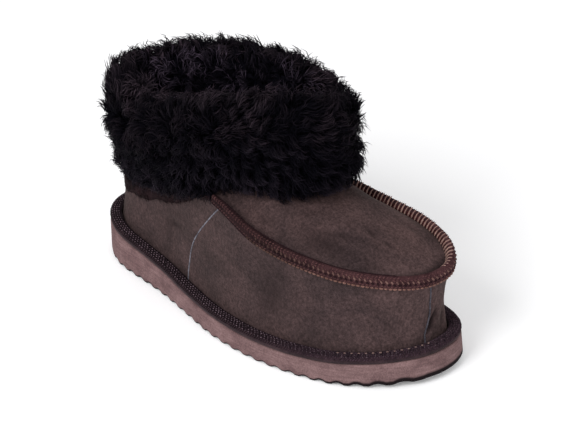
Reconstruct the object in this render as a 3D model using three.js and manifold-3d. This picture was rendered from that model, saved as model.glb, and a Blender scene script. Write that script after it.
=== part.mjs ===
// Sheepskin house slipper for the right foot, with a turned-down fleece cuff.
// Millimetres. +X points to the toe, +Y to the inner side of the foot, +Z up.
// The floor is Z = 0 and the origin is on the floor, on a tread land under the middle of the foot.

import * as THREE from 'three';
import { mergeVertices } from 'three/addons/utils/BufferGeometryUtils.js';
import Module from 'manifold-3d';

const wasm = await Module();
wasm.setup();

// Main sizes
const HEEL_BACK = -147.5;
const SOLE_LENGTH = 289.5;
const HEEL_ROUNDING = 44;
const HEEL_ROUNDNESS = 2.1;
const TOE_ROUNDING = 58;
const TOE_ROUNDNESS = 2.3;
const PIECE_GAP = 0.35;

// Sole: a row for each section from the heel back, in millimetres along the foot.
// middle and half give the outline, top is the upper face, lift is the tread's height off the floor
// and flare is how far the side spreads at the bottom.
const SOLE = [
  { along: 0, middle: 1.5, half: 36, top: 27.5, lift: 2.2, flare: 0.5 },
  { along: 10, middle: 1.5, half: 36, top: 27, lift: 0.2, flare: 0.5 },
  { along: 24, middle: 1.2, half: 36.3, top: 25.5, lift: 0, flare: 0.5 },
  { along: 54, middle: 0.5, half: 38, top: 22, lift: 0, flare: 0.5 },
  { along: 84, middle: -0.2, half: 40.2, top: 18.5, lift: 0, flare: 0.5 },
  { along: 114, middle: -1, half: 45, top: 15.2, lift: 0, flare: 0.5 },
  { along: 147, middle: -1, half: 51.2, top: 14.6, lift: 0, flare: 0.4 },
  { along: 180, middle: 1.5, half: 54.8, top: 14.4, lift: 0, flare: 0 },
  { along: 210, middle: 5.5, half: 54.5, top: 14.5, lift: 0, flare: 0 },
  { along: 235, middle: 10, half: 51.5, top: 15.5, lift: 0.2, flare: 0.4 },
  { along: 260, middle: 15, half: 46.5, top: 17.5, lift: 1.4, flare: 1 },
  { along: 289.5, middle: 23, half: 41, top: 20.5, lift: 4, flare: 1.5 },
];
const TREAD_PITCH = 10.5;
const TREAD_LAND = 3;
const TREAD_DEPTH = 2.4;
const TREAD_END = 6;
const TREAD_SHOULDER = 1.5;
const SOLE_ENDS = [0.15, 0.8, 2, 3.8];

// Welt: a flat bound ring on the edge of the sole, by its profile in from the edge and up from the sole
const WELT_WIDTH = 8.5;
const WELT_PROFILE = [
  { inset: 0.9, up: 0.35 },
  { inset: 0.2, up: 1.6 },
  { inset: 0.3, up: 3.4 },
  { inset: 1.6, up: 5 },
  { inset: 4.6, up: 5.5 },
  { inset: 7.9, up: 5 },
  { inset: 8.5, up: 4.2 },
  { inset: 8.5, up: 0.35 },
];

// Insole
const INSOLE_HEIGHT = 6;
const INSOLE_INSET = 14;
const INSOLE_BEVEL = 1.5;

// Upper: a row for each section of the seam line that parts wall and apron.
// share runs from heel 0 to toe 1. out is the outer side of the foot and in the inner side.
// lean is how far the wall comes in at the seam line, hollow how far it dips half way up.
// hem is the lower edge of the cuff and top the edge of the collar, lowest behind the outer ankle.
const WALL = 2.6;
const UPPER = [
  {
    share: 0, leanOut: 14, leanIn: 14, hollow: -1, seamOut: 98, seamIn: 98, crown: 0,
    hem: 62, topOut: 134, topIn: 134,
  },
  {
    share: 0.15, leanOut: 10, leanIn: 10, hollow: -0.5, seamOut: 99, seamIn: 99, crown: 0,
    hem: 66, topOut: 127, topIn: 143,
  },
  {
    share: 0.3, leanOut: 5, leanIn: 5, hollow: 0, seamOut: 100, seamIn: 100, crown: 0,
    hem: 75, topOut: 131, topIn: 151,
  },
  {
    share: 0.42, leanOut: 3, leanIn: 3, hollow: 0.5, seamOut: 99, seamIn: 98, crown: 0,
    hem: 90, topOut: 141.5, topIn: 154.5,
  },
  {
    share: 0.52, leanOut: 2.5, leanIn: 2, hollow: 1, seamOut: 96, seamIn: 93, crown: -2,
    hem: 98, topOut: 149, topIn: 156.5,
  },
  {
    share: 0.62, leanOut: 2, leanIn: 1.5, hollow: 1.5, seamOut: 87, seamIn: 88, crown: -4,
    hem: 106, topOut: 154.5, topIn: 157,
  },
  {
    share: 0.72, leanOut: 2, leanIn: 1, hollow: 2, seamOut: 81, seamIn: 83.5, crown: -4,
    hem: 109, topOut: 159, topIn: 156,
  },
  {
    share: 0.82, leanOut: 1.5, leanIn: 0, hollow: 2.5, seamOut: 77, seamIn: 80, crown: -1,
    hem: 109, topOut: 161.5, topIn: 155,
  },
  {
    share: 0.92, leanOut: 0.5, leanIn: -1.5, hollow: 3, seamOut: 73.5, seamIn: 76, crown: 3,
    hem: 109, topOut: 161, topIn: 154.5,
  },
  {
    share: 1, leanOut: -1, leanIn: -1, hollow: 3, seamOut: 70, seamIn: 70, crown: 5,
    hem: 109, topOut: 156, topIn: 156,
  },
];
const THROAT_PULL = 1.35;
const RING_ROUNDNESS = 2.3;
const INSTEP = { back: -124, front: 44, half: 33, middle: 0, tip: 8, backZ: 112, frontZ: 106 };
const COLLAR = { back: -124, front: 53, half: 33, middle: 0, tip: 8 };

// Standing seam round the apron: its profile out from the wall and up from the seam line.
// It starts under the cuff, and where the apron is steep it reaches less far inwards.
const SEAM_START = 0.48;
const SEAM_RUN = 0.06;
const SEAM_FOOT = 2.8;
const SEAM_PROFILE = [
  { out: 2.2, up: -1.8 },
  { out: 3, up: 1.8 },
  { out: 2.2, up: 5.4 },
  { out: 0.2, up: 7 },
  { out: -1.8, up: 5.6 },
  { out: -2.6, up: 2.8 },
];
const SEAM_INNER = 2.4;
const SEAM_CLIMB = 1.8;
const SEAM_CLEAR = 3;
const SEAM_LEAST = 0.2;
const SEAM_FLAT = 0.1;
const SEAM_GAP = 0.8;

// Cuff: the fleece profile from the bare hem of hide to the crest and down inside.
// rise is a share of the height from the hem to the collar edge, back and front are how far
// the fleece stands off the upper's face at the heel and over the instep.
const CUFF_PROFILE = [
  { rise: 0, back: 2, front: 3 },
  { rise: 0.1, back: 2, front: 9 },
  { rise: 0.22, back: 6, front: 12.5 },
  { rise: 0.48, back: 10.5, front: 12.5 },
  { rise: 0.72, back: 12, front: 12 },
  { rise: 0.92, back: 10, front: 8 },
];
const CUFF_CREST = [
  { out: 5, up: 10 },
  { out: -3, up: 12 },
  { out: -11, up: 4 },
  { out: -13, up: -14 },
  { out: -10, up: -28 },
];
const INNER_LEG = 2.35;

// Locks of fleece: a row for each ring of locks on the cuff, rooted by the same measures
const LOCK_ROWS = [
  { rise: 0.24, back: 0, front: 6, count: 13, length: 13, fall: -0.6 },
  { rise: 0.42, back: 4, front: 8, count: 13, length: 13, fall: -0.5 },
  { rise: 0.62, back: 6, front: 7, count: 13, length: 13, fall: -0.3 },
  { rise: 0.86, back: 5, front: 4, count: 13, length: 13, fall: 0.4 },
  { rise: 1.1, back: 0, front: 0, count: 13, length: 14, fall: 2.4 },
];
const LOCK_RADIUS = 11;
const LOCK_CREST = 4;
const LOCK_WAIST = { along: 0.6, lift: 0.2, size: 0.7, twist: 0.5 };
const LOCK_SCATTER = { shift: 0.22, sway: 0.45, length: 0.2 };
const SCATTER_STEPS = { place: 12.9, row: 7.3, kind: 2.1 };

// Mesh fineness
const TURN = 56;
const WALL_ROWS = 4;
const APRON_ROWS = 4;
const SHAFT_ROWS = 2;

// Smooth curve through one column of a table
function curve(table, key, column) {
  const keys = table.map((row) => row[key]);
  const values = table.map((row) => row[column]);
  const last = keys.length - 1;
  const slope = keys.map((_, i) => {
    const before = Math.max(i - 1, 0);
    const after = Math.min(i + 1, last);
    return (values[after] - values[before]) / (keys[after] - keys[before]);
  });
  return (at) => {
    const x = Math.min(Math.max(at, keys[0]), keys[last]);
    let i = 0;
    while (i < last - 1 && x > keys[i + 1]) i += 1;
    const span = keys[i + 1] - keys[i];
    const t = (x - keys[i]) / span;
    const keep = 1 - t;
    return (
      values[i] * keep * keep * (1 + 2 * t) +
      slope[i] * span * t * keep * keep +
      values[i + 1] * t * t * (3 - 2 * t) -
      slope[i + 1] * span * t * t * keep
    );
  };
}

const soleMiddle = curve(SOLE, 'along', 'middle');
const soleHalf = curve(SOLE, 'along', 'half');
const soleTop = curve(SOLE, 'along', 'top');
const soleLift = curve(SOLE, 'along', 'lift');
const soleFlare = curve(SOLE, 'along', 'flare');
const wallLeanOut = curve(UPPER, 'share', 'leanOut');
const wallLeanIn = curve(UPPER, 'share', 'leanIn');
const wallHollow = curve(UPPER, 'share', 'hollow');
const seamOut = curve(UPPER, 'share', 'seamOut');
const seamIn = curve(UPPER, 'share', 'seamIn');
const apronCrown = curve(UPPER, 'share', 'crown');
const hemHeight = curve(UPPER, 'share', 'hem');
const topOut = curve(UPPER, 'share', 'topOut');
const topIn = curve(UPPER, 'share', 'topIn');

// Share of a full width that is left near a rounded end
function rounded(distance, length, roundness) {
  if (distance >= length) return 1;
  const away = 1 - Math.max(distance, 0) / length;
  return Math.pow(1 - Math.pow(away, roundness), 1 / roundness);
}

// Place on a ring: turn 0 is the heel, a half turn is the toe, the outer side comes first
function shareOf(turn) {
  return (1 - Math.cos(turn)) / 2;
}

function sideOf(turn) {
  return -Math.sign(Math.sin(turn));
}

// Outline of the sole in plan
function halfWidth(along) {
  const heel = rounded(along, HEEL_ROUNDING, HEEL_ROUNDNESS);
  const toe = rounded(SOLE_LENGTH - along, TOE_ROUNDING, TOE_ROUNDNESS);
  return soleHalf(along) * heel * toe;
}

function solePlan(turn) {
  const along = SOLE_LENGTH * shareOf(turn);
  const y = soleMiddle(along) + sideOf(turn) * halfWidth(along);
  return new THREE.Vector2(HEEL_BACK + along, y);
}

const TURN_STEP = 0.002;
function outward(plan, turn) {
  const ahead = plan(turn + TURN_STEP);
  const behind = plan(turn - TURN_STEP);
  return new THREE.Vector2(ahead.y - behind.y, behind.x - ahead.x).normalize();
}

function soleInset(turn, inset) {
  return solePlan(turn).addScaledVector(outward(solePlan, turn), -inset);
}

// Outer face of the upper: level 0 to 1 is the wall, 1 to 2 the apron, 2 to 3 the shaft
function ofSide(outer, inner, turn) {
  const share = shareOf(turn);
  return sideOf(turn) > 0 ? inner(share) : outer(share);
}

function wallPoint(turn, level) {
  const share = shareOf(turn);
  const lean = ofSide(wallLeanOut, wallLeanIn, turn);
  const seam = ofSide(seamOut, seamIn, turn);
  const foot = soleTop(SOLE_LENGTH * share) + PIECE_GAP;
  const inset = WELT_WIDTH + PIECE_GAP + lean * level + wallHollow(share) * Math.sin(Math.PI * level);
  const plan = soleInset(turn, inset);
  return new THREE.Vector3(plan.x, plan.y, foot + (seam - foot) * level);
}

function eggPlan(egg, turn) {
  const share = 1 - Math.pow(1 - shareOf(turn), THROAT_PULL);
  const wide = Math.pow(1 - Math.pow(Math.abs(2 * share - 1), RING_ROUNDNESS), 1 / RING_ROUNDNESS);
  const middle = egg.middle + (egg.tip - egg.middle) * share * share;
  return new THREE.Vector2(
    egg.back + (egg.front - egg.back) * share,
    middle + sideOf(turn) * egg.half * wide,
  );
}

function instepPoint(turn) {
  const plan = eggPlan(INSTEP, turn);
  const share = (plan.x - INSTEP.back) / (INSTEP.front - INSTEP.back);
  return new THREE.Vector3(plan.x, plan.y, INSTEP.backZ + (INSTEP.frontZ - INSTEP.backZ) * share);
}

function collarPoint(turn) {
  const plan = eggPlan(COLLAR, turn);
  return new THREE.Vector3(plan.x, plan.y, ofSide(topOut, topIn, turn));
}

function apronPoint(turn, level) {
  const seam = wallPoint(turn, 1);
  const arch = 1 - (2 * level - 1) ** 2;
  const rise = apronCrown(shareOf(turn)) * arch;
  return seam.lerp(instepPoint(turn), level).add(new THREE.Vector3(0, 0, rise));
}

function upperPoint(turn, level) {
  if (level <= 1) return wallPoint(turn, level);
  if (level <= 2) return apronPoint(turn, level - 1);
  return instepPoint(turn).lerp(collarPoint(turn), level - 2);
}

const LEVEL_STEP = 0.02;
const LEVEL_TOP = 3;
function upperNormal(turn, level) {
  const round = upperPoint(turn + TURN_STEP, level).sub(upperPoint(turn - TURN_STEP, level));
  const high = upperPoint(turn, Math.min(level + LEVEL_STEP, LEVEL_TOP));
  const low = upperPoint(turn, Math.max(level - LEVEL_STEP, 0));
  return round.cross(high.sub(low)).normalize();
}

// Level at which the face of the upper reaches a height
const HALVINGS = 30;
function levelAt(turn, height) {
  let low = 0;
  let high = LEVEL_TOP;
  for (let i = 0; i < HALVINGS; i += 1) {
    const half = (low + high) / 2;
    if (upperPoint(turn, half).z < height) low = half;
    else high = half;
  }
  return (low + high) / 2;
}

// Solids from sections: a ring closes on itself, a strip has two flat ends
function solidOf(points, triangles) {
  const geometry = new THREE.BufferGeometry();
  geometry.setAttribute('position', new THREE.Float32BufferAttribute(points.flatMap((p) => p.toArray()), 3));
  geometry.setIndex(triangles.flat());
  return geometry;
}

function skinFaces(sectionCount, pointCount, closed) {
  const triangles = [];
  const steps = closed ? sectionCount : sectionCount - 1;
  for (let i = 0; i < steps; i += 1) {
    const next = (i + 1) % sectionCount;
    for (let k = 0; k < pointCount; k += 1) {
      const up = (k + 1) % pointCount;
      const a = i * pointCount + k;
      const b = next * pointCount + k;
      const c = next * pointCount + up;
      const d = i * pointCount + up;
      triangles.push([a, b, c], [a, c, d]);
    }
  }
  return triangles;
}

function ringSolid(sections) {
  return solidOf(sections.flat(), skinFaces(sections.length, sections[0].length, true));
}

function stripSolid(sections) {
  const count = sections[0].length;
  const triangles = skinFaces(sections.length, count, false);
  const end = (sections.length - 1) * count;
  for (let k = 1; k < count - 1; k += 1) {
    triangles.push([0, k, k + 1], [end, end + k + 1, end + k]);
  }
  return solidOf(sections.flat(), triangles);
}

function turns(count) {
  return Array.from({ length: count }, (_, i) => (2 * Math.PI * i) / count);
}

// Joining and cutting
function toManifold(geometry) {
  const plain = geometry.clone();
  plain.deleteAttribute('normal');
  plain.deleteAttribute('uv');
  const merged = mergeVertices(plain);
  return new wasm.Manifold(new wasm.Mesh({
    numProp: 3,
    vertProperties: Float32Array.from(merged.attributes.position.array),
    triVerts: Uint32Array.from(merged.index.array),
  }));
}

function toGeometry(manifold) {
  const mesh = manifold.getMesh();
  const geometry = new THREE.BufferGeometry();
  geometry.setAttribute('position', new THREE.Float32BufferAttribute(mesh.vertProperties, 3));
  geometry.setIndex(Array.from(mesh.triVerts));
  return geometry;
}

// The largest of the bodies that a cut leaves
function largest(manifold) {
  return manifold.decompose().reduce((most, one) => (one.volume() > most.volume() ? one : most));
}

// Outsole: sections across the foot, with the lands and hollows of the rippled tread
function treadHollow(x) {
  const from = Math.abs(x - TREAD_PITCH * Math.round(x / TREAD_PITCH));
  const reach = TREAD_PITCH / 2 - TREAD_LAND / 2;
  const into = Math.max(from - TREAD_LAND / 2, 0) / reach;
  return TREAD_DEPTH * Math.sin((Math.PI / 2) * into);
}

function soleStations() {
  const stations = [...SOLE_ENDS, ...SOLE_ENDS.map((inward) => SOLE_LENGTH - inward)];
  const first = Math.ceil((HEEL_BACK + TREAD_END) / TREAD_PITCH);
  const last = Math.floor((HEEL_BACK + SOLE_LENGTH - TREAD_END) / TREAD_PITCH);
  const edge = TREAD_LAND / 2;
  const offsets = [-edge, edge, edge + TREAD_SHOULDER, TREAD_PITCH / 2, TREAD_PITCH - edge - TREAD_SHOULDER];
  for (let n = first; n <= last; n += 1) {
    offsets.forEach((offset) => stations.push(n * TREAD_PITCH + offset - HEEL_BACK));
  }
  return stations.filter((along) => along < SOLE_LENGTH).sort((a, b) => a - b);
}

function soleSection(along) {
  const x = HEEL_BACK + along;
  const middle = soleMiddle(along);
  const half = halfWidth(along);
  const foot = half * (1 + soleFlare(along) / soleHalf(along));
  const near = Math.min(along, SOLE_LENGTH - along) / TREAD_END;
  const bottom = soleLift(along) + treadHollow(x) * Math.min(near, 1);
  const top = soleTop(along);
  return [
    new THREE.Vector3(x, middle - foot, bottom),
    new THREE.Vector3(x, middle - half, top),
    new THREE.Vector3(x, middle + half, top),
    new THREE.Vector3(x, middle + foot, bottom),
  ];
}

function outsole() {
  return stripSolid(soleStations().map(soleSection));
}

// Insole: a footbed on the sole, inside the upper, with sections between opposite points of its edge
function insole() {
  const half = turns(TURN).slice(1, TURN / 2);
  return stripSolid(half.map((turn) => {
    const edge = (side, inset, up) => {
      const plan = soleInset(side, inset);
      const floor = soleTop(plan.x - HEEL_BACK) + PIECE_GAP;
      return new THREE.Vector3(plan.x, plan.y, floor + up);
    };
    const profile = [
      { inset: INSOLE_INSET, up: 0 },
      { inset: INSOLE_INSET, up: INSOLE_HEIGHT - INSOLE_BEVEL },
      { inset: INSOLE_INSET + INSOLE_BEVEL, up: INSOLE_HEIGHT },
    ];
    const outer = profile.map((step) => edge(turn, step.inset, step.up));
    const inner = profile.map((step) => edge(2 * Math.PI - turn, step.inset, step.up));
    return [...outer, ...inner.reverse()];
  }));
}

// Welt binding: a flat ring with a rounded outer edge
function weltBinding() {
  return ringSolid(turns(TURN).map((turn) => WELT_PROFILE.map((step) => {
    const plan = soleInset(turn, step.inset);
    const top = soleTop(SOLE_LENGTH * shareOf(turn));
    return new THREE.Vector3(plan.x, plan.y, top + step.up);
  })));
}

// Upper: one hollow wall, open at the collar and underneath
function upperLevels() {
  const levels = [];
  for (let k = 0; k < WALL_ROWS; k += 1) levels.push(k / WALL_ROWS);
  for (let k = 0; k < APRON_ROWS; k += 1) levels.push(1 + k / APRON_ROWS);
  for (let k = 0; k <= SHAFT_ROWS; k += 1) levels.push(2 + k / SHAFT_ROWS);
  return levels;
}

function shell(outerShift, innerShift, rim) {
  const face = (turn, level, shift) => {
    const point = upperPoint(turn, level);
    const moved = point.clone().addScaledVector(upperNormal(turn, level), shift);
    if (level === 0) moved.setZ(point.z - rim);
    if (level === LEVEL_TOP) moved.setZ(point.z + rim);
    return moved;
  };
  const levels = upperLevels();
  return ringSolid(turns(TURN).map((turn) => {
    const outer = levels.map((level) => face(turn, level, outerShift));
    const inner = levels.map((level) => face(turn, level, innerShift));
    return [...outer, ...inner.reverse()];
  }));
}

function upper() {
  return shell(0, -WALL, 0);
}

// The room that the upper needs in a piece that is fitted to it
function upperSlot() {
  return toManifold(shell(PIECE_GAP, -WALL - PIECE_GAP, PIECE_GAP));
}

// Standing seam: a folded ridge on the edge where wall and apron meet
function seamSection(turn, grow) {
  const corner = upperPoint(turn, 1);
  const under = upperPoint(turn, 1 - 1 / WALL_ROWS).sub(corner);
  const over = upperPoint(turn, 1 + 1 / APRON_ROWS).sub(corner);
  const seamPlan = (t) => {
    const p = upperPoint(t, 1);
    return new THREE.Vector2(p.x, p.y);
  };
  const away = outward(seamPlan, turn);
  const out = new THREE.Vector3(away.x, away.y, 0);
  const ahead = upperPoint(turn + TURN_STEP, 1).sub(upperPoint(turn - TURN_STEP, 1)).normalize();
  const along = new THREE.Vector3(-out.y, out.x, 0);
  const place = (o, u) => corner.clone().addScaledVector(out, o).setZ(corner.z + u);
  const wallSlope = under.dot(out) / -under.z;
  const inwards = Math.max(-over.dot(out), SEAM_LEAST);
  const slip = over.dot(along) / ahead.dot(along);
  const apronSlope = (over.z - slip * ahead.z) / inwards;
  const reach = (up) => Math.min(SEAM_INNER, up / Math.max(apronSlope, SEAM_FLAT));
  const foot = place(SEAM_FOOT * wallSlope + SEAM_GAP - grow, -SEAM_FOOT - grow);
  const inner = reach(SEAM_CLIMB);
  const steep = Math.hypot(1, apronSlope);
  const lift = (SEAM_GAP - grow) / steep;
  const rim = place(-inner - grow + lift * apronSlope, inner * apronSlope + lift);
  const notch = place(SEAM_GAP - grow, SEAM_GAP - grow);
  const ridge = SEAM_PROFILE.map((step) => {
    const side = step.out < 0 ? Math.max(step.out, -reach(step.up - SEAM_CLEAR)) : step.out;
    return place(side + Math.sign(step.out) * grow, step.up + Math.sign(step.up) * grow);
  });
  return [notch, foot, ...ridge, rim];
}

function seamStrip(start, grow) {
  const first = Math.acos(1 - 2 * start);
  const inside = turns(TURN).filter((turn) => turn > first && turn < 2 * Math.PI - first);
  return toManifold(stripSolid(inside.map((turn) => seamSection(turn, grow))));
}

function apronSeam() {
  return toGeometry(seamStrip(SEAM_START, 0));
}

// Cuff: fleece folded over the collar edge, with a slot for the upper and locks fused on
function collarOut(turn) {
  const n = outward((t) => eggPlan(COLLAR, t), turn);
  return new THREE.Vector3(n.x, n.y, 0);
}

function cuffPoint(turn, rise, out) {
  const hem = hemHeight(shareOf(turn));
  const top = collarPoint(turn).z;
  const height = hem + (top - hem) * rise;
  const face = upperPoint(turn, levelAt(turn, Math.min(height, top)));
  return face.setZ(height).addScaledVector(collarOut(turn), out);
}

function cuffSection(turn) {
  const share = shareOf(turn);
  const collar = collarPoint(turn);
  const out = collarOut(turn);
  const outside = CUFF_PROFILE.map((step) => {
    return cuffPoint(turn, step.rise, step.back + (step.front - step.back) * share);
  });
  const crest = CUFF_CREST.map((step) => collar.clone().addScaledVector(out, step.out).setZ(collar.z + step.up));
  const core = [INNER_LEG, levelAt(turn, hemHeight(share))].map((level) => {
    return upperPoint(turn, level).addScaledVector(upperNormal(turn, level), -WALL / 2);
  });
  return [...outside, ...crest, ...core];
}

function lock(root, tip, sideways) {
  const axis = tip.clone().sub(root).normalize();
  const lift = axis.clone().cross(sideways).normalize();
  const ring = (centre, size) => [0, 1, 2].map((k) => {
    const angle = (k * 2 * Math.PI) / 3 + LOCK_WAIST.twist;
    return centre.clone()
      .addScaledVector(sideways, size * Math.cos(angle))
      .addScaledVector(lift, size * Math.sin(angle));
  });
  const waist = root.clone().lerp(tip, LOCK_WAIST.along).addScaledVector(lift, LOCK_RADIUS * LOCK_WAIST.lift);
  const points = [...ring(root, LOCK_RADIUS), ...ring(waist, LOCK_RADIUS * LOCK_WAIST.size), tip];
  const triangles = [[0, 2, 1]];
  for (let k = 0; k < 3; k += 1) {
    const next = (k + 1) % 3;
    triangles.push([k, next, 3 + next], [k, 3 + next, 3 + k], [3 + k, 3 + next, 6]);
  }
  return solidOf(points, triangles);
}

// A fixed scatter between -1 and 1 for lock i of row r
function scatter(i, r, kind) {
  return Math.sin(SCATTER_STEPS.place * i + SCATTER_STEPS.row * r + SCATTER_STEPS.kind * kind);
}

function locks() {
  const made = [];
  LOCK_ROWS.forEach((row, r) => {
    for (let i = 0; i < row.count; i += 1) {
      const place = i + (r % 2) / 2 + LOCK_SCATTER.shift * scatter(i, r, 0);
      const turn = (2 * Math.PI * place) / row.count;
      const out = collarOut(turn);
      const root = row.rise > 1
        ? collarPoint(turn).add(new THREE.Vector3(0, 0, LOCK_CREST))
        : cuffPoint(turn, row.rise, row.back + (row.front - row.back) * shareOf(turn));
      const sideways = new THREE.Vector3(-out.y, out.x, 0);
      const way = out.clone()
        .add(new THREE.Vector3(0, 0, row.fall))
        .addScaledVector(sideways, LOCK_SCATTER.sway * scatter(i, r, 1))
        .normalize();
      const length = row.length * (1 + LOCK_SCATTER.length * scatter(i, r, 2));
      made.push(lock(root, root.clone().addScaledVector(way, length), sideways));
    }
  });
  return made;
}

function cuff() {
  const body = toManifold(ringSolid(turns(TURN).map(cuffSection)));
  const fleece = locks().reduce((whole, tuft) => whole.add(toManifold(tuft)), body);
  const groove = seamStrip(SEAM_START - SEAM_RUN, 2 * PIECE_GAP);
  return toGeometry(largest(fleece.subtract(upperSlot()).subtract(groove)));
}

// Materials and the assembled slipper
const slipper = new THREE.Group();
function addPiece(name, geometry, color, roughness) {
  geometry.computeVertexNormals();
  const material = new THREE.MeshStandardMaterial({ color, roughness, metalness: 0 });
  const mesh = new THREE.Mesh(geometry, material);
  mesh.name = name;
  slipper.add(mesh);
}

addPiece('outsole', outsole(), 0x7f6769, 0.85);
addPiece('insole', insole(), 0x241c20, 1);
addPiece('upper', upper(), 0x463737, 0.95);
addPiece('welt_binding', weltBinding(), 0x31262e, 0.8);
addPiece('apron_seam', apronSeam(), 0x372325, 0.85);
addPiece('cuff', cuff(), 0x1c171c, 1);

export default slipper;
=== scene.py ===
import math
import bpy
import numpy as np
from mathutils import Matrix, Vector, noise


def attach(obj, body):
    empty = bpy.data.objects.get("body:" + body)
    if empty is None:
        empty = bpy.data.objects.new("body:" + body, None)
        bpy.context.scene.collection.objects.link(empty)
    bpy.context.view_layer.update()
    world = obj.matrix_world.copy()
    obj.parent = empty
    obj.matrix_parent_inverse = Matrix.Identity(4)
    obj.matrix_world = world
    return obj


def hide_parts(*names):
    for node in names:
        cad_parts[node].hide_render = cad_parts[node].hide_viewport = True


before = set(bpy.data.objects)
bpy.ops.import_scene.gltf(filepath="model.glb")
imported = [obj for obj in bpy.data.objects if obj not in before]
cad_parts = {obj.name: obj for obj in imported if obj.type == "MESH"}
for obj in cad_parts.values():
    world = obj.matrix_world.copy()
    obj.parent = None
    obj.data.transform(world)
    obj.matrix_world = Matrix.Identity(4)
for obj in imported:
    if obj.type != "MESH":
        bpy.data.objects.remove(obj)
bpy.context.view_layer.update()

# Outsole: one wedge of microporous foam, thick under the heel and thin at the ball, cut to the outline
# of the last and cemented under the upper. The tread is rippled across the foot, and the side is darker
# in a thin band along its bottom edge that widens at the toe. Sizes are in millimetres and the meshes
# in metres.
MM = 0.001
HEEL_BACK = -147.5
SOLE_LENGTH = 289.5
HEEL_ROUNDING = 44
HEEL_ROUNDNESS = 2.1
TOE_ROUNDING = 58
TOE_ROUNDNESS = 2.3
SOLE = {
    "along": (0, 10, 24, 54, 84, 114, 147, 180, 210, 235, 260, 289.5),
    "middle": (1.5, 1.5, 1.2, 0.5, -0.2, -1, -1, 1.5, 5.5, 10, 15, 23),
    "half": (36, 36, 36.3, 38, 40.2, 45, 51.2, 54.8, 54.5, 51.5, 46.5, 41),
    "top": (27.5, 27, 25.5, 22, 18.5, 15.2, 14.6, 14.4, 14.5, 15.5, 17.5, 20.5),
    "lift": (2.2, 0.2, 0, 0, 0, 0, 0, 0, 0, 0.2, 1.4, 4),
    "flare": (0.5, 0.5, 0.5, 0.5, 0.5, 0.5, 0.4, 0, 0, 0.4, 1, 1.5),
    # skin: height in millimetres of the darker band along the bottom edge of the side
    "skin": (1.8, 1.8, 1.8, 1.7, 1.6, 1.5, 1.4, 1.4, 1.5, 1.9, 3, 4.2),
}
TREAD_PITCH = 10.5
TREAD_LAND = 3
TREAD_DEPTH = 1.6
TREAD_END = 6
SOLE_TURNS = 800
SOLE_SIDE = {
    "inset": (1.6, 0.5, 0, 0, 0, 0, 0, 0.3, 1.2),
    "rise": (0, 0.02, 0.09, 0.3, 0.5, 0.7, 0.93, 0.985, 1),
}
TURN_STEP = 0.002
LEAST_LENGTH = 1e-9
FOAM = {"dark": (95, 73, 74), "light": (125, 100, 100), "patches": 60.0, "grain": 1100.0, "bump": 0.5}
FOAM_LAYERS = (40.0, 40.0, 900.0)
LAYER_DETAIL = 3.0
LAYER_SHADE = (0.84, 1.14)
FOAM_BOTTOM_EDGE = (24, 17, 20)
BOTTOM_EDGE_FADE = (0.75, 1.15)
PATCH_NOISE = {"detail": 5.0, "roughness": 0.6, "distortion": 0.6}
PATCH_SPREAD = (0.33, 0.67)
GRAIN_NOISE = {"detail": 3.0, "roughness": 0.65}
NOISE_SPREAD = (0.3, 0.7)
GRAIN_SHADE = (0.72, 1.28)
GRAIN_ROUGHNESS = (0.98, 0.8)
PLAIN_GLOSS = 0.08
SHEEN_ROUGHNESS = 0.5
BUMP_DEPTH = 0.4


def curve(table, key, column):
    """A smooth curve through one column of a table."""
    keys = np.array(table[key], float)
    values = np.array(table[column], float)
    before = np.maximum(np.arange(len(keys)) - 1, 0)
    after = np.minimum(np.arange(len(keys)) + 1, len(keys) - 1)
    slope = (values[after] - values[before]) / (keys[after] - keys[before])

    def at(place):
        x = np.clip(place, keys[0], keys[-1])
        i = np.clip(np.searchsorted(keys, x) - 1, 0, len(keys) - 2)
        span = keys[i + 1] - keys[i]
        t = (x - keys[i]) / span
        keep = 1 - t
        start = values[i] * keep**2 * (1 + 2 * t) + slope[i] * span * t * keep**2
        end = values[i + 1] * t**2 * (3 - 2 * t) - slope[i + 1] * span * t**2 * keep
        return start + end

    return at


sole_middle, sole_half, sole_top, sole_lift, sole_flare, bottom_edge_height = (
    curve(SOLE, "along", column) for column in ("middle", "half", "top", "lift", "flare", "skin"))


def share_of(turn):
    """How far along the foot a turn is: turn 0 is the heel, a half turn the toe, the outer side first."""
    return (1 - np.cos(turn)) / 2


def side_of(turn):
    return -np.sign(np.sin(turn))


def rounded(distance, length, roundness):
    away = 1 - np.clip(distance / length, 0, 1)
    return (1 - away**roundness) ** (1 / roundness)


def sole_plan(turn):
    along = SOLE_LENGTH * share_of(turn)
    half = sole_half(along) * rounded(along, HEEL_ROUNDING, HEEL_ROUNDNESS)
    half = half * rounded(SOLE_LENGTH - along, TOE_ROUNDING, TOE_ROUNDNESS)
    return np.stack([HEEL_BACK + along, sole_middle(along) + side_of(turn) * half], -1)


def unit(vectors):
    return vectors / np.maximum(np.linalg.norm(vectors, axis=-1, keepdims=True), LEAST_LENGTH)


def outward(plan, turn):
    run = plan(turn + TURN_STEP) - plan(turn - TURN_STEP)
    return unit(np.stack([run[..., 1], -run[..., 0]], -1))


def sole_inset(turn, inset):
    return sole_plan(turn) - outward(sole_plan, turn) * np.asarray(inset)[..., None]


def raised(plan, height):
    """Places over a plan, all at one height or each at its own."""
    return np.concatenate([plan, np.broadcast_to(height, plan.shape[:-1])[..., None]], -1)


def turns(count):
    return np.arange(count) * 2 * math.pi / count


def tread_hollow(x):
    off = np.abs(x - TREAD_PITCH * np.round(x / TREAD_PITCH))
    into = np.maximum(off - TREAD_LAND / 2, 0) / (TREAD_PITCH / 2 - TREAD_LAND / 2)
    return TREAD_DEPTH * np.sin(math.pi / 2 * into)


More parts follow.
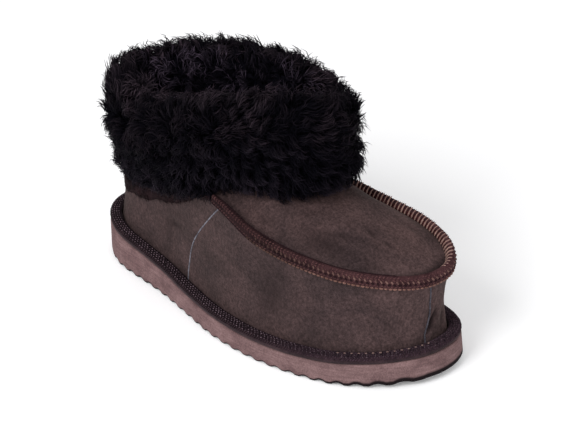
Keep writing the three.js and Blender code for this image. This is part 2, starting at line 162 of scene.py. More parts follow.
def grid_faces(rows, columns, closed_rows=True, closed_columns=False):
    """Quads over a grid of points, row by row, with the last row or column joined to the first."""
    i = np.arange(rows if closed_rows else rows - 1)
    k = np.arange(columns if closed_columns else columns - 1)
    i, k = (index.ravel() for index in np.meshgrid(i, k, indexing="ij"))
    after = (i + 1) % rows
    above = (k + 1) % columns
    corners = (i * columns + k, after * columns + k, after * columns + above, i * columns + above)
    return np.stack(corners, -1).tolist()


def add_piece(name, points, faces, material, edges=()):
    """A mesh object from points in millimetres."""
    mesh = bpy.data.meshes.new(name)
    mesh.from_pydata((np.asarray(points).reshape(-1, 3) * MM).tolist(), edges, faces)
    mesh.materials.append(material)
    mesh.shade_smooth()
    piece = bpy.data.objects.new(name, mesh)
    bpy.context.scene.collection.objects.link(piece)
    return piece


def add_values(piece, name, values):
    """A value or a vector for each point of a piece, for its material or its nodes to read."""
    values = np.asarray(values, float)
    vector = values.ndim > 1 and values.shape[-1] == 3
    layer = piece.data.attributes.new(name, "FLOAT_VECTOR" if vector else "FLOAT", "POINT")
    layer.data.foreach_set("vector" if vector else "value", values.ravel())


def paint(colour):
    """Linear colour from eight-bit red, green and blue, by the usual screen curve."""
    shares = [part / 255 for part in colour]
    return [((s + 0.055) / 1.055) ** 2.4 if s > 0.04045 else s / 12.92 for s in shares] + [1]


def feed(tree, made, inputs):
    """Sets inputs of a node to values, or links them to sockets."""
    for name, value in inputs.items():
        if isinstance(value, bpy.types.NodeSocket):
            tree.links.new(value, made.inputs[name])
        else:
            made.inputs[name].default_value = value


def node(tree, kind, inputs=None, **settings):
    made = tree.nodes.new(kind)
    for name, value in settings.items():
        setattr(made, name, value)
    feed(tree, made, inputs or {})
    return made


def mix(tree, factor, first, second, blend="MIX"):
    """A blend of two colours, which are inputs 6 and 7 of the node and its output 2."""
    colours = {"Factor": factor, 6: first, 7: second}
    return node(tree, "ShaderNodeMix", colours, data_type="RGBA", blend_type=blend).outputs[2]


def tinted(tree, colour, gain):
    return mix(tree, 1.0, colour, gain, "MULTIPLY")


def maths(tree, operation, first, second):
    return node(tree, "ShaderNodeMath", {0: first, 1: second}, operation=operation).outputs["Value"]


def ranged(tree, value, start, end, low=0.0, high=1.0):
    """A value spread from one range over another."""
    made = node(tree, "ShaderNodeMapRange", {
        "Value": value, "From Min": start, "From Max": end, "To Min": low, "To Max": high})
    return made.outputs["Result"]


def object_place(tree, stretch=None):
    """Places on a piece, stretched for a pattern that runs one way."""
    place = node(tree, "ShaderNodeTexCoord").outputs["Object"]
    if stretch is None:
        return place
    return node(tree, "ShaderNodeMapping", {"Vector": place, "Scale": stretch}).outputs["Vector"]


def noise_node(tree, place, scale=1.0, detail=2.0, roughness=0.5, distortion=0.0):
    return node(tree, "ShaderNodeTexNoise", {
        "Vector": place, "Scale": scale, "Detail": detail, "Roughness": roughness, "Distortion": distortion})


def value_on(tree, name):
    """The value that the points of a piece carry under a name."""
    return node(tree, "ShaderNodeAttribute", attribute_name=name).outputs["Fac"]


def tree_of(kind, name, inputs, outputs):
    """A node tree with named sockets: the tree, what it is given and the node of its result."""
    tree = bpy.data.node_groups.new(name, kind)
    for way, sockets in (("INPUT", inputs), ("OUTPUT", outputs)):
        for label, socket in sockets.items():
            tree.interface.new_socket(label, in_out=way, socket_type="NodeSocket" + socket)
    return tree, tree.nodes.new("NodeGroupInput").outputs, tree.nodes.new("NodeGroupOutput")


def worn_surface():
    """Patches of two colours with a fine grain over them, for every hide, foam, wool and thread."""
    group, given, result = tree_of(
        "ShaderNodeTree", "worn_surface",
        {"Dark": "Color", "Light": "Color", "Patches": "Float", "Grain": "Float"},
        {"Color": "Color", "Roughness": "Float", "Height": "Float"},
    )
    place = object_place(group)
    patches = noise_node(group, place, given["Patches"], **PATCH_NOISE).outputs["Fac"]
    grain = noise_node(group, place, given["Grain"], **GRAIN_NOISE).outputs["Fac"]
    colour = mix(group, ranged(group, patches, *PATCH_SPREAD), given["Dark"], given["Light"])
    feed(group, result, {
        "Color": tinted(group, colour, ranged(group, grain, *NOISE_SPREAD, *GRAIN_SHADE)),
        "Roughness": ranged(group, grain, *NOISE_SPREAD, *GRAIN_ROUGHNESS),
        "Height": grain,
    })
    return group


WORN_SURFACE = worn_surface()


def worn_material(name, dark, light, patches, grain, bump, sheen=0.0, gloss=PLAIN_GLOSS):
    """A material on the worn surface, with its tree, shader, group and bump for more to be added."""
    material = bpy.data.materials.new(name)
    material.use_nodes = True
    tree = material.node_tree
    shader = tree.nodes["Principled BSDF"]
    worn = node(tree, "ShaderNodeGroup", node_tree=WORN_SURFACE)
    feed(tree, worn, {"Dark": paint(dark), "Light": paint(light), "Patches": patches, "Grain": grain})
    relief = node(tree, "ShaderNodeBump", {
        "Height": worn.outputs["Height"], "Strength": bump, "Distance": BUMP_DEPTH * MM})
    feed(tree, shader, {
        "Base Color": worn.outputs["Color"], "Roughness": worn.outputs["Roughness"],
        "Normal": relief.outputs["Normal"], "Specular IOR Level": gloss,
        "Sheen Weight": sheen, "Sheen Roughness": SHEEN_ROUGHNESS,
    })
    return material, tree, shader, worn, relief


def foam_material():
    """Foam that was sliced in thin layers, darker in a thin band along the bottom edge of its side."""
    material, tree, shader, worn, relief = worn_material("microporous_foam", **FOAM)
    layers = noise_node(tree, object_place(tree, FOAM_LAYERS), detail=LAYER_DETAIL).outputs["Fac"]
    sliced = tinted(tree, worn.outputs["Color"], ranged(tree, layers, *NOISE_SPREAD, *LAYER_SHADE))
    edge = ranged(tree, value_on(tree, "above_tread"), *BOTTOM_EDGE_FADE, 1.0, 0.0)
    feed(tree, shader, {"Base Color": mix(tree, edge, sliced, paint(FOAM_BOTTOM_EDGE))})
    feed(tree, relief, {"Height": maths(tree, "ADD", layers, worn.outputs["Height"])})
    return material


def make_outsole():
    turn = turns(SOLE_TURNS)
    along = SOLE_LENGTH * share_of(turn)
    near = np.minimum(np.minimum(along, SOLE_LENGTH - along) / TREAD_END, 1)
    bottom = sole_lift(along) + tread_hollow(HEEL_BACK + along) * near
    rows = []
    above = []
    for inset, rise in zip(SOLE_SIDE["inset"], SOLE_SIDE["rise"]):
        plan = sole_inset(turn, inset - sole_flare(along) * (1 - rise))
        height = bottom + (sole_top(along) - bottom) * rise
        rows.append(raised(plan, height))
        above.append((height - bottom) / bottom_edge_height(along))
    count = len(rows)
    faces = grid_faces(SOLE_TURNS, count)
    for row, flip in ((0, False), (count - 1, True)):
        for i in range(SOLE_TURNS // 2):
            across = [i, SOLE_TURNS - i, SOLE_TURNS - i - 1, i + 1]
            corners = list(dict.fromkeys((place % SOLE_TURNS) * count + row for place in across))
            faces.append(corners[::-1] if flip else corners)
    piece = add_piece("outsole_foam", np.stack(rows, 1), faces, foam_material())
    add_values(piece, "above_tread", np.stack(above, 1))
    return piece


outsole = make_outsole()
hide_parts("outsole")
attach(outsole, "root")

# Insole: a footbed of sheepskin that lies loose on the sole inside the upper, with its wool upwards.
# Its edge is bevelled and its top is softly lumpy from the pile.
PIECE_GAP = 0.35
INSOLE_HEIGHT = 6
INSOLE_INSET = 14
INSOLE_BEVEL = 1.5
INSOLE_TURNS = 240
INSOLE_SKIP = 4
INSOLE_ACROSS = 28
INSOLE_LUMPS = {"size": 14, "depth": 0.9}
SHORT_WOOL = {
    "dark": (16, 13, 15), "light": (38, 30, 31), "patches": 160.0, "grain": 700.0, "bump": 1.0, "sheen": 0.15}


def lumps(points, size, depth):
    """A soft rise and fall over points in millimetres, with bumps of about that size."""
    flat = np.asarray(points).reshape(-1, 3) / size
    rise = np.array([noise.noise(Vector(place)) for place in flat])
    return depth * rise.reshape(np.shape(points)[:-1])


def half_turns(count, skip):
    """The turns of the outer side, without the few beside heel and toe."""
    return turns(count)[skip:count // 2 - skip + 1]


def capped_faces(rows, columns):
    """Quads along a tube of sections, with a face over each of its ends."""
    last = rows * columns - 1
    ends = [list(range(columns)), list(range(last, last - columns, -1))]
    return grid_faces(rows, columns, closed_rows=False, closed_columns=True) + ends


def make_insole():
    turn = half_turns(INSOLE_TURNS, INSOLE_SKIP)

    def edge(side, inset, up):
        plan = sole_inset(side, np.full_like(side, inset))
        return raised(plan, sole_top(plan[:, 0] - HEEL_BACK) + PIECE_GAP + up)

    profile = ((INSOLE_INSET, 0), (INSOLE_INSET, INSOLE_HEIGHT - INSOLE_BEVEL))
    outer = [edge(turn, inset, up) for inset, up in profile]
    inner = [edge(-turn, inset, up) for inset, up in profile]
    rim = INSOLE_INSET + INSOLE_BEVEL
    first = edge(turn, rim, INSOLE_HEIGHT)
    last = edge(-turn, rim, INSOLE_HEIGHT)
    across = np.linspace(0, 1, INSOLE_ACROSS)[:, None, None]
    top = first + (last - first) * across
    top[..., 2] += lumps(top, **INSOLE_LUMPS) * np.sin(math.pi * across[..., 0])
    sections = np.stack([*outer, *top, *inner[::-1]], 1)
    wool_side = worn_material("footbed_wool", **SHORT_WOOL)[0]
    return add_piece("insole_wool", sections, capped_faces(*sections.shape[:2]), wool_side)


insole = make_insole()
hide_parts("insole")
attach(insole, "root")

# Upper: vamp walls, apron and back quarters of sheepskin with the suede side out, one hollow wall that
# is lasted to the sole. Its foot is held inside the welt, and wall and apron meet at the standing seam.
WALL = 2.6
WELT_WIDTH = 8.5
UPPER = {
    "share": (0, 0.15, 0.3, 0.42, 0.52, 0.62, 0.72, 0.82, 0.92, 1),
    "lean_out": (14, 10, 5, 3, 2.5, 2, 2, 1.5, 0.5, -1),
    "lean_in": (14, 10, 5, 3, 2, 1.5, 1, 0, -1.5, -1),
    "hollow": (-1, -0.5, 0, 0.5, 1, 1.5, 2, 2.5, 3, 3),
    "seam_out": (98, 99, 100, 99, 96, 87, 81, 77, 73.5, 70),
    "seam_in": (98, 99, 100, 98, 93, 88, 83.5, 80, 76, 70),
    "crown": (0, 0, 0, 0, -2, -4, -4, -1, 3, 5),
    "hem": (62, 66, 75, 92, 101, 107, 109, 109, 109, 109),
    "top_out": (134, 127, 131, 141.5, 149, 154.5, 159, 161.5, 161, 156),
    "top_in": (134, 143, 151, 154.5, 156.5, 157, 156, 155, 154.5, 156),
}
THROAT_PULL = 1.35
RING_ROUNDNESS = 2.3
INSTEP = {"back": -124, "front": 44, "half": 33, "middle": 0, "tip": 8, "back_z": 112, "front_z": 106}
COLLAR = {"back": -124, "front": 53, "half": 33, "middle": 0, "tip": 8}
LEVEL_STEP = 0.02
LEVEL_TOP = 3
LEVEL_HALVINGS = 30
UPPER_TURNS = 420
OUTER_LEVELS = np.concatenate([np.linspace(0, 1, 35), np.linspace(1, 2, 61)[1:], np.linspace(2, 3, 9)[1:]])
INNER_LEVELS = np.linspace(3, 0, 22)
EDGE_HOLD = 12
SUEDE = {
    "dark": (48, 38, 39), "light": (69, 54, 54), "patches": 27.0, "grain": 1000.0, "bump": 0.8,
    "sheen": 0.06, "gloss": 0.1}
SUEDE_SHEEN = (190, 165, 150)
CLOUDS = {"scale": 13.0, "detail": 3.0, "distortion": 1.0}
CLOUD_SPREAD = (0.32, 0.68)
CLOUD_SHADE = (0.9, 1.12)
NAP_STREAKS = (560.0, 560.0, 420.0)
NAP_DETAIL = 4.0
NAP_SHADE = (0.66, 1.34)
BRUSH_STROKES = (55.0, 230.0, 230.0)
STROKE_SHADE = (0.88, 1.12)
# Painted shade: the colour that creases, the strip beside the apron seam and the darker patches are painted
# towards
SHADE_COLOUR = (29, 21, 22)
CREASE_SHADE_DEPTH = 1.9
# Painted highlight: how much lighter the suede is painted where light falls on the top of the apron, in
# patches
HIGHLIGHT_GAIN = (1.9, 1.78, 1.7)
APRON_HIGHLIGHT = {"start": 1.12, "rise": 2.2, "share": 0.55, "most": 0.38}
HIGHLIGHT_PATCHES = {"size": 30, "depth": 1.1}

wall_lean = [curve(UPPER, "share", column) for column in ("lean_out", "lean_in")]
seam_height = [curve(UPPER, "share", column) for column in ("seam_out", "seam_in")]
collar_height = [curve(UPPER, "share", column) for column in ("top_out", "top_in")]
wall_hollow, apron_crown, hem_height = (
    curve(UPPER, "share", column) for column in ("hollow", "crown", "hem"))


def of_side(pair, turn):
    """A value that differs between the outer and the inner side of the foot."""
    share = share_of(turn)
    inner = (1 + side_of(turn)) / 2
    return pair[0](share) * (1 - inner) + pair[1](share) * inner


def wall_point(turn, level):
    share = share_of(turn)
    foot = sole_top(SOLE_LENGTH * share) + PIECE_GAP
    lean = of_side(wall_lean, turn) * level + wall_hollow(share) * np.sin(math.pi * level)
    plan = sole_inset(turn, WELT_WIDTH + PIECE_GAP + lean)
    return raised(plan, foot + (of_side(seam_height, turn) - foot) * level)


def egg_plan(egg, turn):
    share = 1 - (1 - share_of(turn)) ** THROAT_PULL
    wide = np.maximum(1 - np.abs(2 * share - 1) ** RING_ROUNDNESS, 0) ** (1 / RING_ROUNDNESS)
    middle = egg["middle"] + (egg["tip"] - egg["middle"]) * share**2
    along = egg["back"] + (egg["front"] - egg["back"]) * share
    return np.stack([along, middle + side_of(turn) * egg["half"] * wide], -1)


def instep_point(turn):
    plan = egg_plan(INSTEP, turn)
    share = (plan[..., 0] - INSTEP["back"]) / (INSTEP["front"] - INSTEP["back"])
    return raised(plan, INSTEP["back_z"] + (INSTEP["front_z"] - INSTEP["back_z"]) * share)


def collar_point(turn):
    return raised(egg_plan(COLLAR, turn), of_side(collar_height, turn))


def upper_point(turn, level):
    """The upper's outer face: level 0 to 1 is the wall, 1 to 2 the apron and 2 to 3 the shaft."""
    turn, level = np.broadcast_arrays(np.asarray(turn, float), np.asarray(level, float))
    wall = wall_point(turn, np.clip(level, 0, 1))
    up = np.clip(level - 1, 0, 1)[..., None]
    instep = instep_point(turn)
    apron = wall + (instep - wall) * up
    apron[..., 2] += apron_crown(share_of(turn)) * (4 * up * (1 - up))[..., 0]
    shaft = instep + (collar_point(turn) - instep) * np.clip(level - 2, 0, 1)[..., None]
    return np.where(level[..., None] <= 2, apron, shaft)


def upper_normal(turn, level):
    turn, level = np.broadcast_arrays(np.asarray(turn, float), np.asarray(level, float))
    run = upper_point(turn + TURN_STEP, level) - upper_point(turn - TURN_STEP, level)
    high = upper_point(turn, np.minimum(level + LEVEL_STEP, LEVEL_TOP))
    low = upper_point(turn, np.maximum(level - LEVEL_STEP, 0))
    return unit(np.cross(run, high - low))


def level_at(turn, height):
    """The level at which the upper's face reaches a height."""
    low = np.zeros_like(turn)
    high = np.full_like(turn, LEVEL_TOP)
    for _ in range(LEVEL_HALVINGS):
        half = (low + high) / 2
        under = upper_point(turn, half)[..., 2] < height
        low = np.where(under, half, low)
        high = np.where(under, high, half)
    return (low + high) / 2


# Creases of the suede, each a soft trough between two places with a low ridge on both sides of it
CREASES = (
    {"start": (130.5, 24.5, 44), "end": (130.8, 14.8, 29), "width": 1.6, "depth": 2.4},
    {"start": (130, 36, 44), "end": (131, 28, 27), "width": 3.0, "depth": 1.2},
    {"start": (134, 8, 62), "end": (133, 2, 30), "width": 4.0, "depth": 0.8},
    {"start": (85, 7.5, 94), "end": (94.5, 7, 90), "width": 1.7, "depth": 1.0},
    {"start": (99, 9.5, 88), "end": (106, 11.5, 85), "width": 1.7, "depth": 1.0},
    {"start": (95, 33, 89), "end": (105, 38, 84), "width": 1.8, "depth": 0.8},
    {"start": (72, -12, 93.5), "end": (87, -2, 91.4), "width": 2.6, "depth": 0.9},
    {"start": (46, -16, 99), "end": (62, -2, 100.5), "width": 3.0, "depth": 0.8},
    {"start": (56, -21, 92), "end": (90, -14, 85), "width": 8.0, "depth": 1.1},
    {"start": (58, 22, 100), "end": (62, 40, 93), "width": 6.0, "depth": 0.8},
    {"start": (40, -44, 30), "end": (52, -45, 62), "width": 9.0, "depth": 0.9},
    {"start": (-70, -33, 34), "end": (-58, -34, 62), "width": 9.0, "depth": 0.7},
    {"start": (-67, -29, 53), "end": (-47, -30.5, 57), "width": 2.6, "depth": 0.8},
    {"start": (90, -40, 28), "end": (84, -41, 58), "width": 8.0, "depth": 0.8},
    {"start": (60, 52, 30), "end": (50, 50, 66), "width": 9.0, "depth": 0.8},
    {"start": (-120, 20, 40), "end": (-112, 24, 60), "width": 9.0, "depth": 0.7},
)
CREASE_SPAN = (0.12, 0.88)
CREASE_RIDGE = {"height": 0.35, "away": 2}
SOFTNESS = {"size": 24, "depth": 0.7}

# Patches painted on the suede: painted highlights on the apron and toe, painted shade at the toe crease, and
# darker patches on the walls and heel
TONE_PATCHES = (
    {"place": (108, 20, 85), "size": 22, "light": 0.62, "dark": 0.0},
    {"place": (27, -28, 95), "size": 15, "light": 0.12, "dark": 0.0},
    {"place": (60, 4, 100), "size": 16, "light": 0.2, "dark": 0.0},
    {"place": (55, -39, 50), "size": 26, "light": 0.0, "dark": 0.26},
    {"place": (66, -20, 90), "size": 18, "light": 0.0, "dark": 0.1},
    {"place": (-62, -32, 60), "size": 14, "light": 0.0, "dark": 0.15},
    {"place": (40, 50, 55), "size": 24, "light": 0.0, "dark": 0.2},
    {"place": (-130, 10, 50), "size": 20, "light": 0.0, "dark": 0.15},
    {"place": (112.5, -11.7, 50), "size": 15, "light": 0.22, "dark": 0.0},
    {"place": (0.8, -41, 58), "size": 20, "light": 0.0, "dark": 0.16},
    {"place": (104, 30, 85), "size": 14, "light": 0.2, "dark": 0.0},
    {"place": (131, 21, 38), "size": 7, "light": 0.0, "dark": 0.35},
)
SEAM_SHADE = {"away": (0, 6.5, 10), "dark": (0.75, 0.75, 0)}
SEAM_SHADE_END = {"turn": 3.5, "fade": 4}

# Side seam where the back quarter laps under the vamp, by its level up the wall, and the toe seam
SIDE_SEAM = {
    "level": (0, 0.145, 0.38, 0.578, 0.765, 0.955),
    "share": (0.360, 0.363, 0.378, 0.41, 0.451, 0.499),
}
SEAM_GROOVE = 1.5
SEAM_DEPTH = 0.9
SEAM_LIP = 0.6
TOE_SEAM = {"level": (0, 0.2, 0.5, 1), "turn": (3, 3.012, 3.087, 3.05)}
TOE_START = 0.9
TOE_PUCKER = {"count": 4, "depth": 0.2, "reach": 6}
side_seam_share = curve(SIDE_SEAM, "level", "share")
toe_seam_turn = curve(TOE_SEAM, "level", "turn")


def bell(away):
    return np.exp(-(away**2))


def ramp(into, steepness):
    return np.clip(into * steepness, 0, 1)


def creases(points):
    moved = np.zeros(points.shape[:-1])
    for crease in CREASES:
        start = np.array(crease["start"], float)
        run = np.array(crease["end"], float) - start
        along = np.clip(((points - start) @ run) / (run @ run), 0, 1)
        away = np.linalg.norm(points - start - along[..., None] * run, axis=-1) / crease["width"]
        fade = np.sin(math.pi * np.clip(along, *CREASE_SPAN))
        section = CREASE_RIDGE["height"] * bell(away - CREASE_RIDGE["away"]) - bell(away)
        moved += crease["depth"] * fade * section
    return moved


def patch_tone(points, tone):
    """How much of a tone, lighter or darker, the patches lay on points of the upper."""
    total = np.zeros(points.shape[:-1])
    for tone_spot in TONE_PATCHES:
        away = np.linalg.norm(points - np.array(tone_spot["place"], float), axis=-1) / tone_spot["size"]
        total += tone_spot[tone] * bell(away)
    return total


def seam_relief(turn, level):
    """Grooves of the side seams and the toe seam, with the lip of the lapped edge and puckers beside it."""
    ahead = SOLE_LENGTH * (share_of(turn) - side_seam_share(level))
    lapped = SEAM_LIP * bell((ahead - SEAM_GROOVE) / SEAM_GROOVE) - SEAM_DEPTH * bell(ahead / SEAM_GROOVE)
    centre = upper_point(toe_seam_turn(level), level)
    beside = np.linalg.norm(upper_point(turn, level) - centre, axis=-1)
    pucker = TOE_PUCKER["depth"] * np.cos(2 * math.pi * level * TOE_PUCKER["count"])
    pucker = pucker * bell(beside / TOE_PUCKER["reach"])
    groove = -SEAM_DEPTH * bell(beside / SEAM_GROOVE)
    toe = np.where(share_of(turn) > TOE_START, groove + pucker, 0)
    return np.where(level < 1, lapped + toe, 0)


def upper_relief(turn, level):
    """How far creases, seams and softness move the suede off its plain face, nothing at its edges."""
    face = upper_point(turn, level)
    moved = creases(face) + seam_relief(turn, level) + lumps(face, **SOFTNESS)
    inside = np.minimum(np.minimum(level, LEVEL_TOP - level), np.abs(level - 1))
    return moved * ramp(inside, EDGE_HOLD)


def suede_material():
    """Brushed suede: worn clouds over the patches, the nap's short streaks, and painted shade and painted
    highlights.
    """
    material, tree, shader, worn, relief = worn_material("suede", **SUEDE)
    clouds = noise_node(tree, object_place(tree), **CLOUDS).outputs["Fac"]
    nap = noise_node(tree, object_place(tree, NAP_STREAKS), detail=NAP_DETAIL).outputs["Fac"]
    strokes = noise_node(tree, object_place(tree, BRUSH_STROKES)).outputs["Fac"]
    shade = maths(tree, "MULTIPLY", ranged(tree, clouds, *CLOUD_SPREAD, *CLOUD_SHADE),
                  ranged(tree, nap, *NOISE_SPREAD, *NAP_SHADE))
    brushed = maths(tree, "MULTIPLY", shade, ranged(tree, strokes, *NOISE_SPREAD, *STROKE_SHADE))
    napped = tinted(tree, worn.outputs["Color"], brushed)
    # Painted highlight on the apron and in the light patches
    lit = mix(tree, value_on(tree, "painted_highlight"), napped, tinted(tree, napped, (*HIGHLIGHT_GAIN, 1)))
    # Painted shade in the creases and beside the apron seam, with the darker patches
    shaded_suede = mix(tree, value_on(tree, "shade_and_dark_patches"), lit, paint(SHADE_COLOUR))
    feed(tree, shader, {"Base Color": shaded_suede, "Sheen Tint": paint(SUEDE_SHEEN)})
    feed(tree, relief, {"Height": maths(tree, "ADD", nap, worn.outputs["Height"])})
    return material


def make_upper():
    turn, level = np.broadcast_arrays(turns(UPPER_TURNS)[:, None], OUTER_LEVELS[None, :])
    plain = upper_point(turn, level)
    outer = plain + upper_normal(turn, level) * upper_relief(turn, level)[..., None]
    inner_turn, inner_level = np.broadcast_arrays(turns(UPPER_TURNS)[:, None], INNER_LEVELS[None, :])
    inner_plain = upper_point(inner_turn, inner_level)
    inner = inner_plain - upper_normal(inner_turn, inner_level) * WALL
    for rim in (0, -1):
        inner[:, rim, 2] = inner_plain[:, rim, 2]
    sections = np.concatenate([outer, inner], 1)
    columns = sections.shape[1]
    faces = grid_faces(UPPER_TURNS, columns, closed_columns=True)
    piece = add_piece("upper_suede", sections, faces, suede_material())
    # Painted shade on the apron beside the seam's ridge, up to just past the toe
    off_seam = np.linalg.norm(plain - upper_point(turn, 1), axis=-1)
    beside_seam = np.where(level >= 1, np.interp(off_seam, SEAM_SHADE["away"], SEAM_SHADE["dark"]), 0)
    beside_seam = beside_seam * ramp(SEAM_SHADE_END["turn"] - turn, SEAM_SHADE_END["fade"])
    # Painted shade in the crease troughs, with the darker patches and the painted shade beside the seam
    shade_and_dark_patches = np.clip(-creases(plain) / CREASE_SHADE_DEPTH, 0, 1) + patch_tone(plain, "dark") + beside_seam
    # Painted highlight over the top of the apron, in patches, with the light patches added
    painted_highlight = ramp(level - APRON_HIGHLIGHT["start"], APRON_HIGHLIGHT["rise"])
    painted_highlight = painted_highlight * np.clip(APRON_HIGHLIGHT["share"] + lumps(plain, **HIGHLIGHT_PATCHES), 0, 1)
    painted_highlight = painted_highlight * APRON_HIGHLIGHT["most"] + patch_tone(plain, "light")
    for name, values in (("shade_and_dark_patches", shade_and_dark_patches), ("painted_highlight", painted_highlight)):
        add_values(piece, name, np.concatenate([np.clip(values, 0, 1), np.zeros(inner.shape[:2])], 1))
    piece.data.materials.append(worn_material("lining_wool", **SHORT_WOOL)[0])
    first = len(OUTER_LEVELS)
    inside = [1 if first <= corner[0] % columns < columns - 1 else 0 for corner in faces]
    piece.data.polygons.foreach_set("material_index", inside)
    return piece


upper = make_upper()
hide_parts("upper")
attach(upper, "root")

# Seam threads: a blue-grey corded edge lies in the groove of the outer side seam and of the toe seam, and
# the inner side seam has a zigzag of the same thread. Every row of stitches on the slipper is sewn by the
# same nodes, which set one stitch after another.
THREAD = {"grain": 2500.0, "bump": 0.4}
GREY_THREAD = {"dark": (76, 74, 81), "light": (122, 120, 129), "patches": 300.0, **THREAD}
TOE_THREAD = {"dark": (50, 47, 53), "light": (90, 87, 95), "patches": 300.0, **THREAD}
CORD_PITCH = 1.4
CORD = {"length": 2.4, "width": 1.35, "height": 1.2}
CORD_OFF = 0.3
ZIGZAG_PITCH = 2.2
ZIGZAG = {"length": 2.3, "width": 0.8, "height": 0.8}
ZIGZAG_SLANT = 0.7
ZIGZAG_SPREAD = 0.9
ZIGZAG_OFF = 0.4
SIDE_SPAN = (0.04, 0.95)
TOE_SPAN = (0.04, 0.93)
SEAM_SAMPLES = 90
BEAD_FULLNESS = 0.6
STITCH_SIZES = (0.88, 1.12)
STITCH_SWAY = 0.06
STITCH_SEED = 1


def bead(length, width, height, yaw=0.0, shift=(0.0, 0.0, 0.0), sides=5, bands=3, bow=0.0):
    """A tapered bead in millimetres: length along the row, width across it, height off the face."""
    rings = np.linspace(0, math.pi, bands + 2)[1:-1]
    points = [(-length / 2, 0, 0)]
    for ring in rings:
        swell = math.sin(ring) ** BEAD_FULLNESS
        along = -math.cos(ring) * length / 2
        for angle in turns(sides):
            across = math.cos(angle) * swell * width / 2
            points.append((along, across, math.sin(angle) * swell * height / 2 - bow * across**2))
    points.append((length / 2, 0, 0))
    last = len(points) - 1
    faces = []
    for k in range(sides):
        after = (k + 1) % sides
        faces.append((0, 1 + after, 1 + k))
        for ring in range(len(rings) - 1):
            base = 1 + sides * ring
            faces.append((base + k, base + after, base + sides + after, base + sides + k))
        faces.append((last - sides + k, last - sides + after, last))
    turned = Matrix.Rotation(yaw, 3, "Z")
    points = [turned @ Vector(place) + Vector(shift) for place in points]
    return np.array(points), faces


def joined(*shapes):
    points = []
    faces = []
    for shape_points, shape_faces in shapes:
        faces += [tuple(corner + len(points) for corner in face) for face in shape_faces]
        points += list(shape_points)
    return np.array(points), faces


def stored(tree, name, kind="FLOAT"):
    """The value or vector that points carry under a name, for geometry nodes."""
    made = node(tree, "GeometryNodeInputNamedAttribute", {"Name": name}, data_type=kind)
    return made.outputs["Attribute"]


def chance(tree, seed, low, high):
    """A random value between two others, its own for each stitch or strand."""
    made = node(tree, "FunctionNodeRandomValue", {2: low, 3: high, "Seed": seed}, data_type="FLOAT")
    return made.outputs[1]


def stood(tree, up, along, roll):
    """The turn that stands a shape up one way and lays it along another, rolled a little."""
    stand = node(tree, "FunctionNodeAxesToRotation", {"Primary Axis": up, "Secondary Axis": along})
    tilt = node(tree, "FunctionNodeAxisAngleToRotation", {"Axis": (0, 0, 1), "Angle": roll})
    turned = node(tree, "FunctionNodeRotateRotation", {
        "Rotation": stand.outputs["Rotation"], "Rotate By": tilt.outputs["Rotation"]}, rotation_space="LOCAL")
    return turned.outputs["Rotation"]


def end_tree(tree, result, instances, material):
    """Ends a tree: its instances become one mesh with one material."""
    whole = node(tree, "GeometryNodeRealizeInstances", {"Geometry": instances}).outputs["Geometry"]
    done = node(tree, "GeometryNodeSetMaterial", {"Geometry": whole, "Material": material})
    feed(tree, result, {"Geometry": done.outputs["Geometry"]})


def sewing_tree():
    """Stitches one pitch apart along a line, standing on the face that the line lies on."""
    tree, given, result = tree_of("GeometryNodeTree", "sewing", {
        "Geometry": "Geometry", "Stitch": "Object", "Pitch": "Float", "Sway": "Float", "Seed": "Int",
        "Thread": "Material"}, {"Geometry": "Geometry"})
    line = node(tree, "GeometryNodeMeshToCurve", {"Mesh": given["Geometry"]})
    spots = node(tree, "GeometryNodeCurveToPoints", {
        "Curve": line.outputs["Curve"], "Length": given["Pitch"]}, mode="LENGTH")
    back = maths(tree, "MULTIPLY", given["Sway"], -1.0)
    sway = chance(tree, given["Seed"], back, given["Sway"])
    stitch = node(tree, "GeometryNodeObjectInfo", {"Object": given["Stitch"]})
    sewn = node(tree, "GeometryNodeInstanceOnPoints", {
        "Points": spots.outputs["Points"], "Instance": stitch.outputs["Geometry"],
        "Rotation": stood(tree, stored(tree, "face", "FLOAT_VECTOR"), spots.outputs["Tangent"], sway),
        "Scale": chance(tree, given["Seed"], *STITCH_SIZES)})
    end_tree(tree, result, sewn.outputs["Instances"], given["Thread"])
    return tree


SEWING = sewing_tree()


def run_nodes(piece, tree, values):
    """Runs a tree on a piece and keeps the result as a plain mesh."""
    modifier = piece.modifiers.new(tree.name, "NODES")
    modifier.node_group = tree
    for socket in tree.interface.items_tree:
        if socket.in_out == "INPUT" and socket.name in values:
            modifier[socket.identifier] = values[socket.name]
    graph = bpy.context.evaluated_depsgraph_get()
    mesh = bpy.data.meshes.new_from_object(
        piece.evaluated_get(graph), preserve_all_data_layers=True, depsgraph=graph)
    piece.modifiers.clear()
    piece.data = mesh
    mesh.shade_smooth()
    return piece


def sew(name, lines, shape, pitch, thread, closed=False):
    """A piece of stitches of one shape along lines of places and face directions, in millimetres."""
    points = []
    directions = []
    edges = []
    for places, faces in lines:
        first = len(points)
        count = len(places)
        edges += [(first + i, first + (i + 1) % count) for i in range(count if closed else count - 1)]
        points += list(places)
        directions += list(faces)
    piece = add_piece(name, np.array(points), (), thread, edges)
    add_values(piece, "face", np.array(directions))
    stitch = add_piece(name + "_stitch", *shape, thread)
    run_nodes(piece, SEWING, {
        "Stitch": stitch, "Pitch": pitch * MM, "Sway": STITCH_SWAY, "Seed": STITCH_SEED, "Thread": thread})
    bpy.data.objects.remove(stitch)
    return piece


def on_upper(turn, level, off):
    """Places off the upper's worn face and the directions that the face looks in."""
    normal = upper_normal(turn, level)
    return upper_point(turn, level) + normal * (upper_relief(turn, level) + off)[:, None], normal


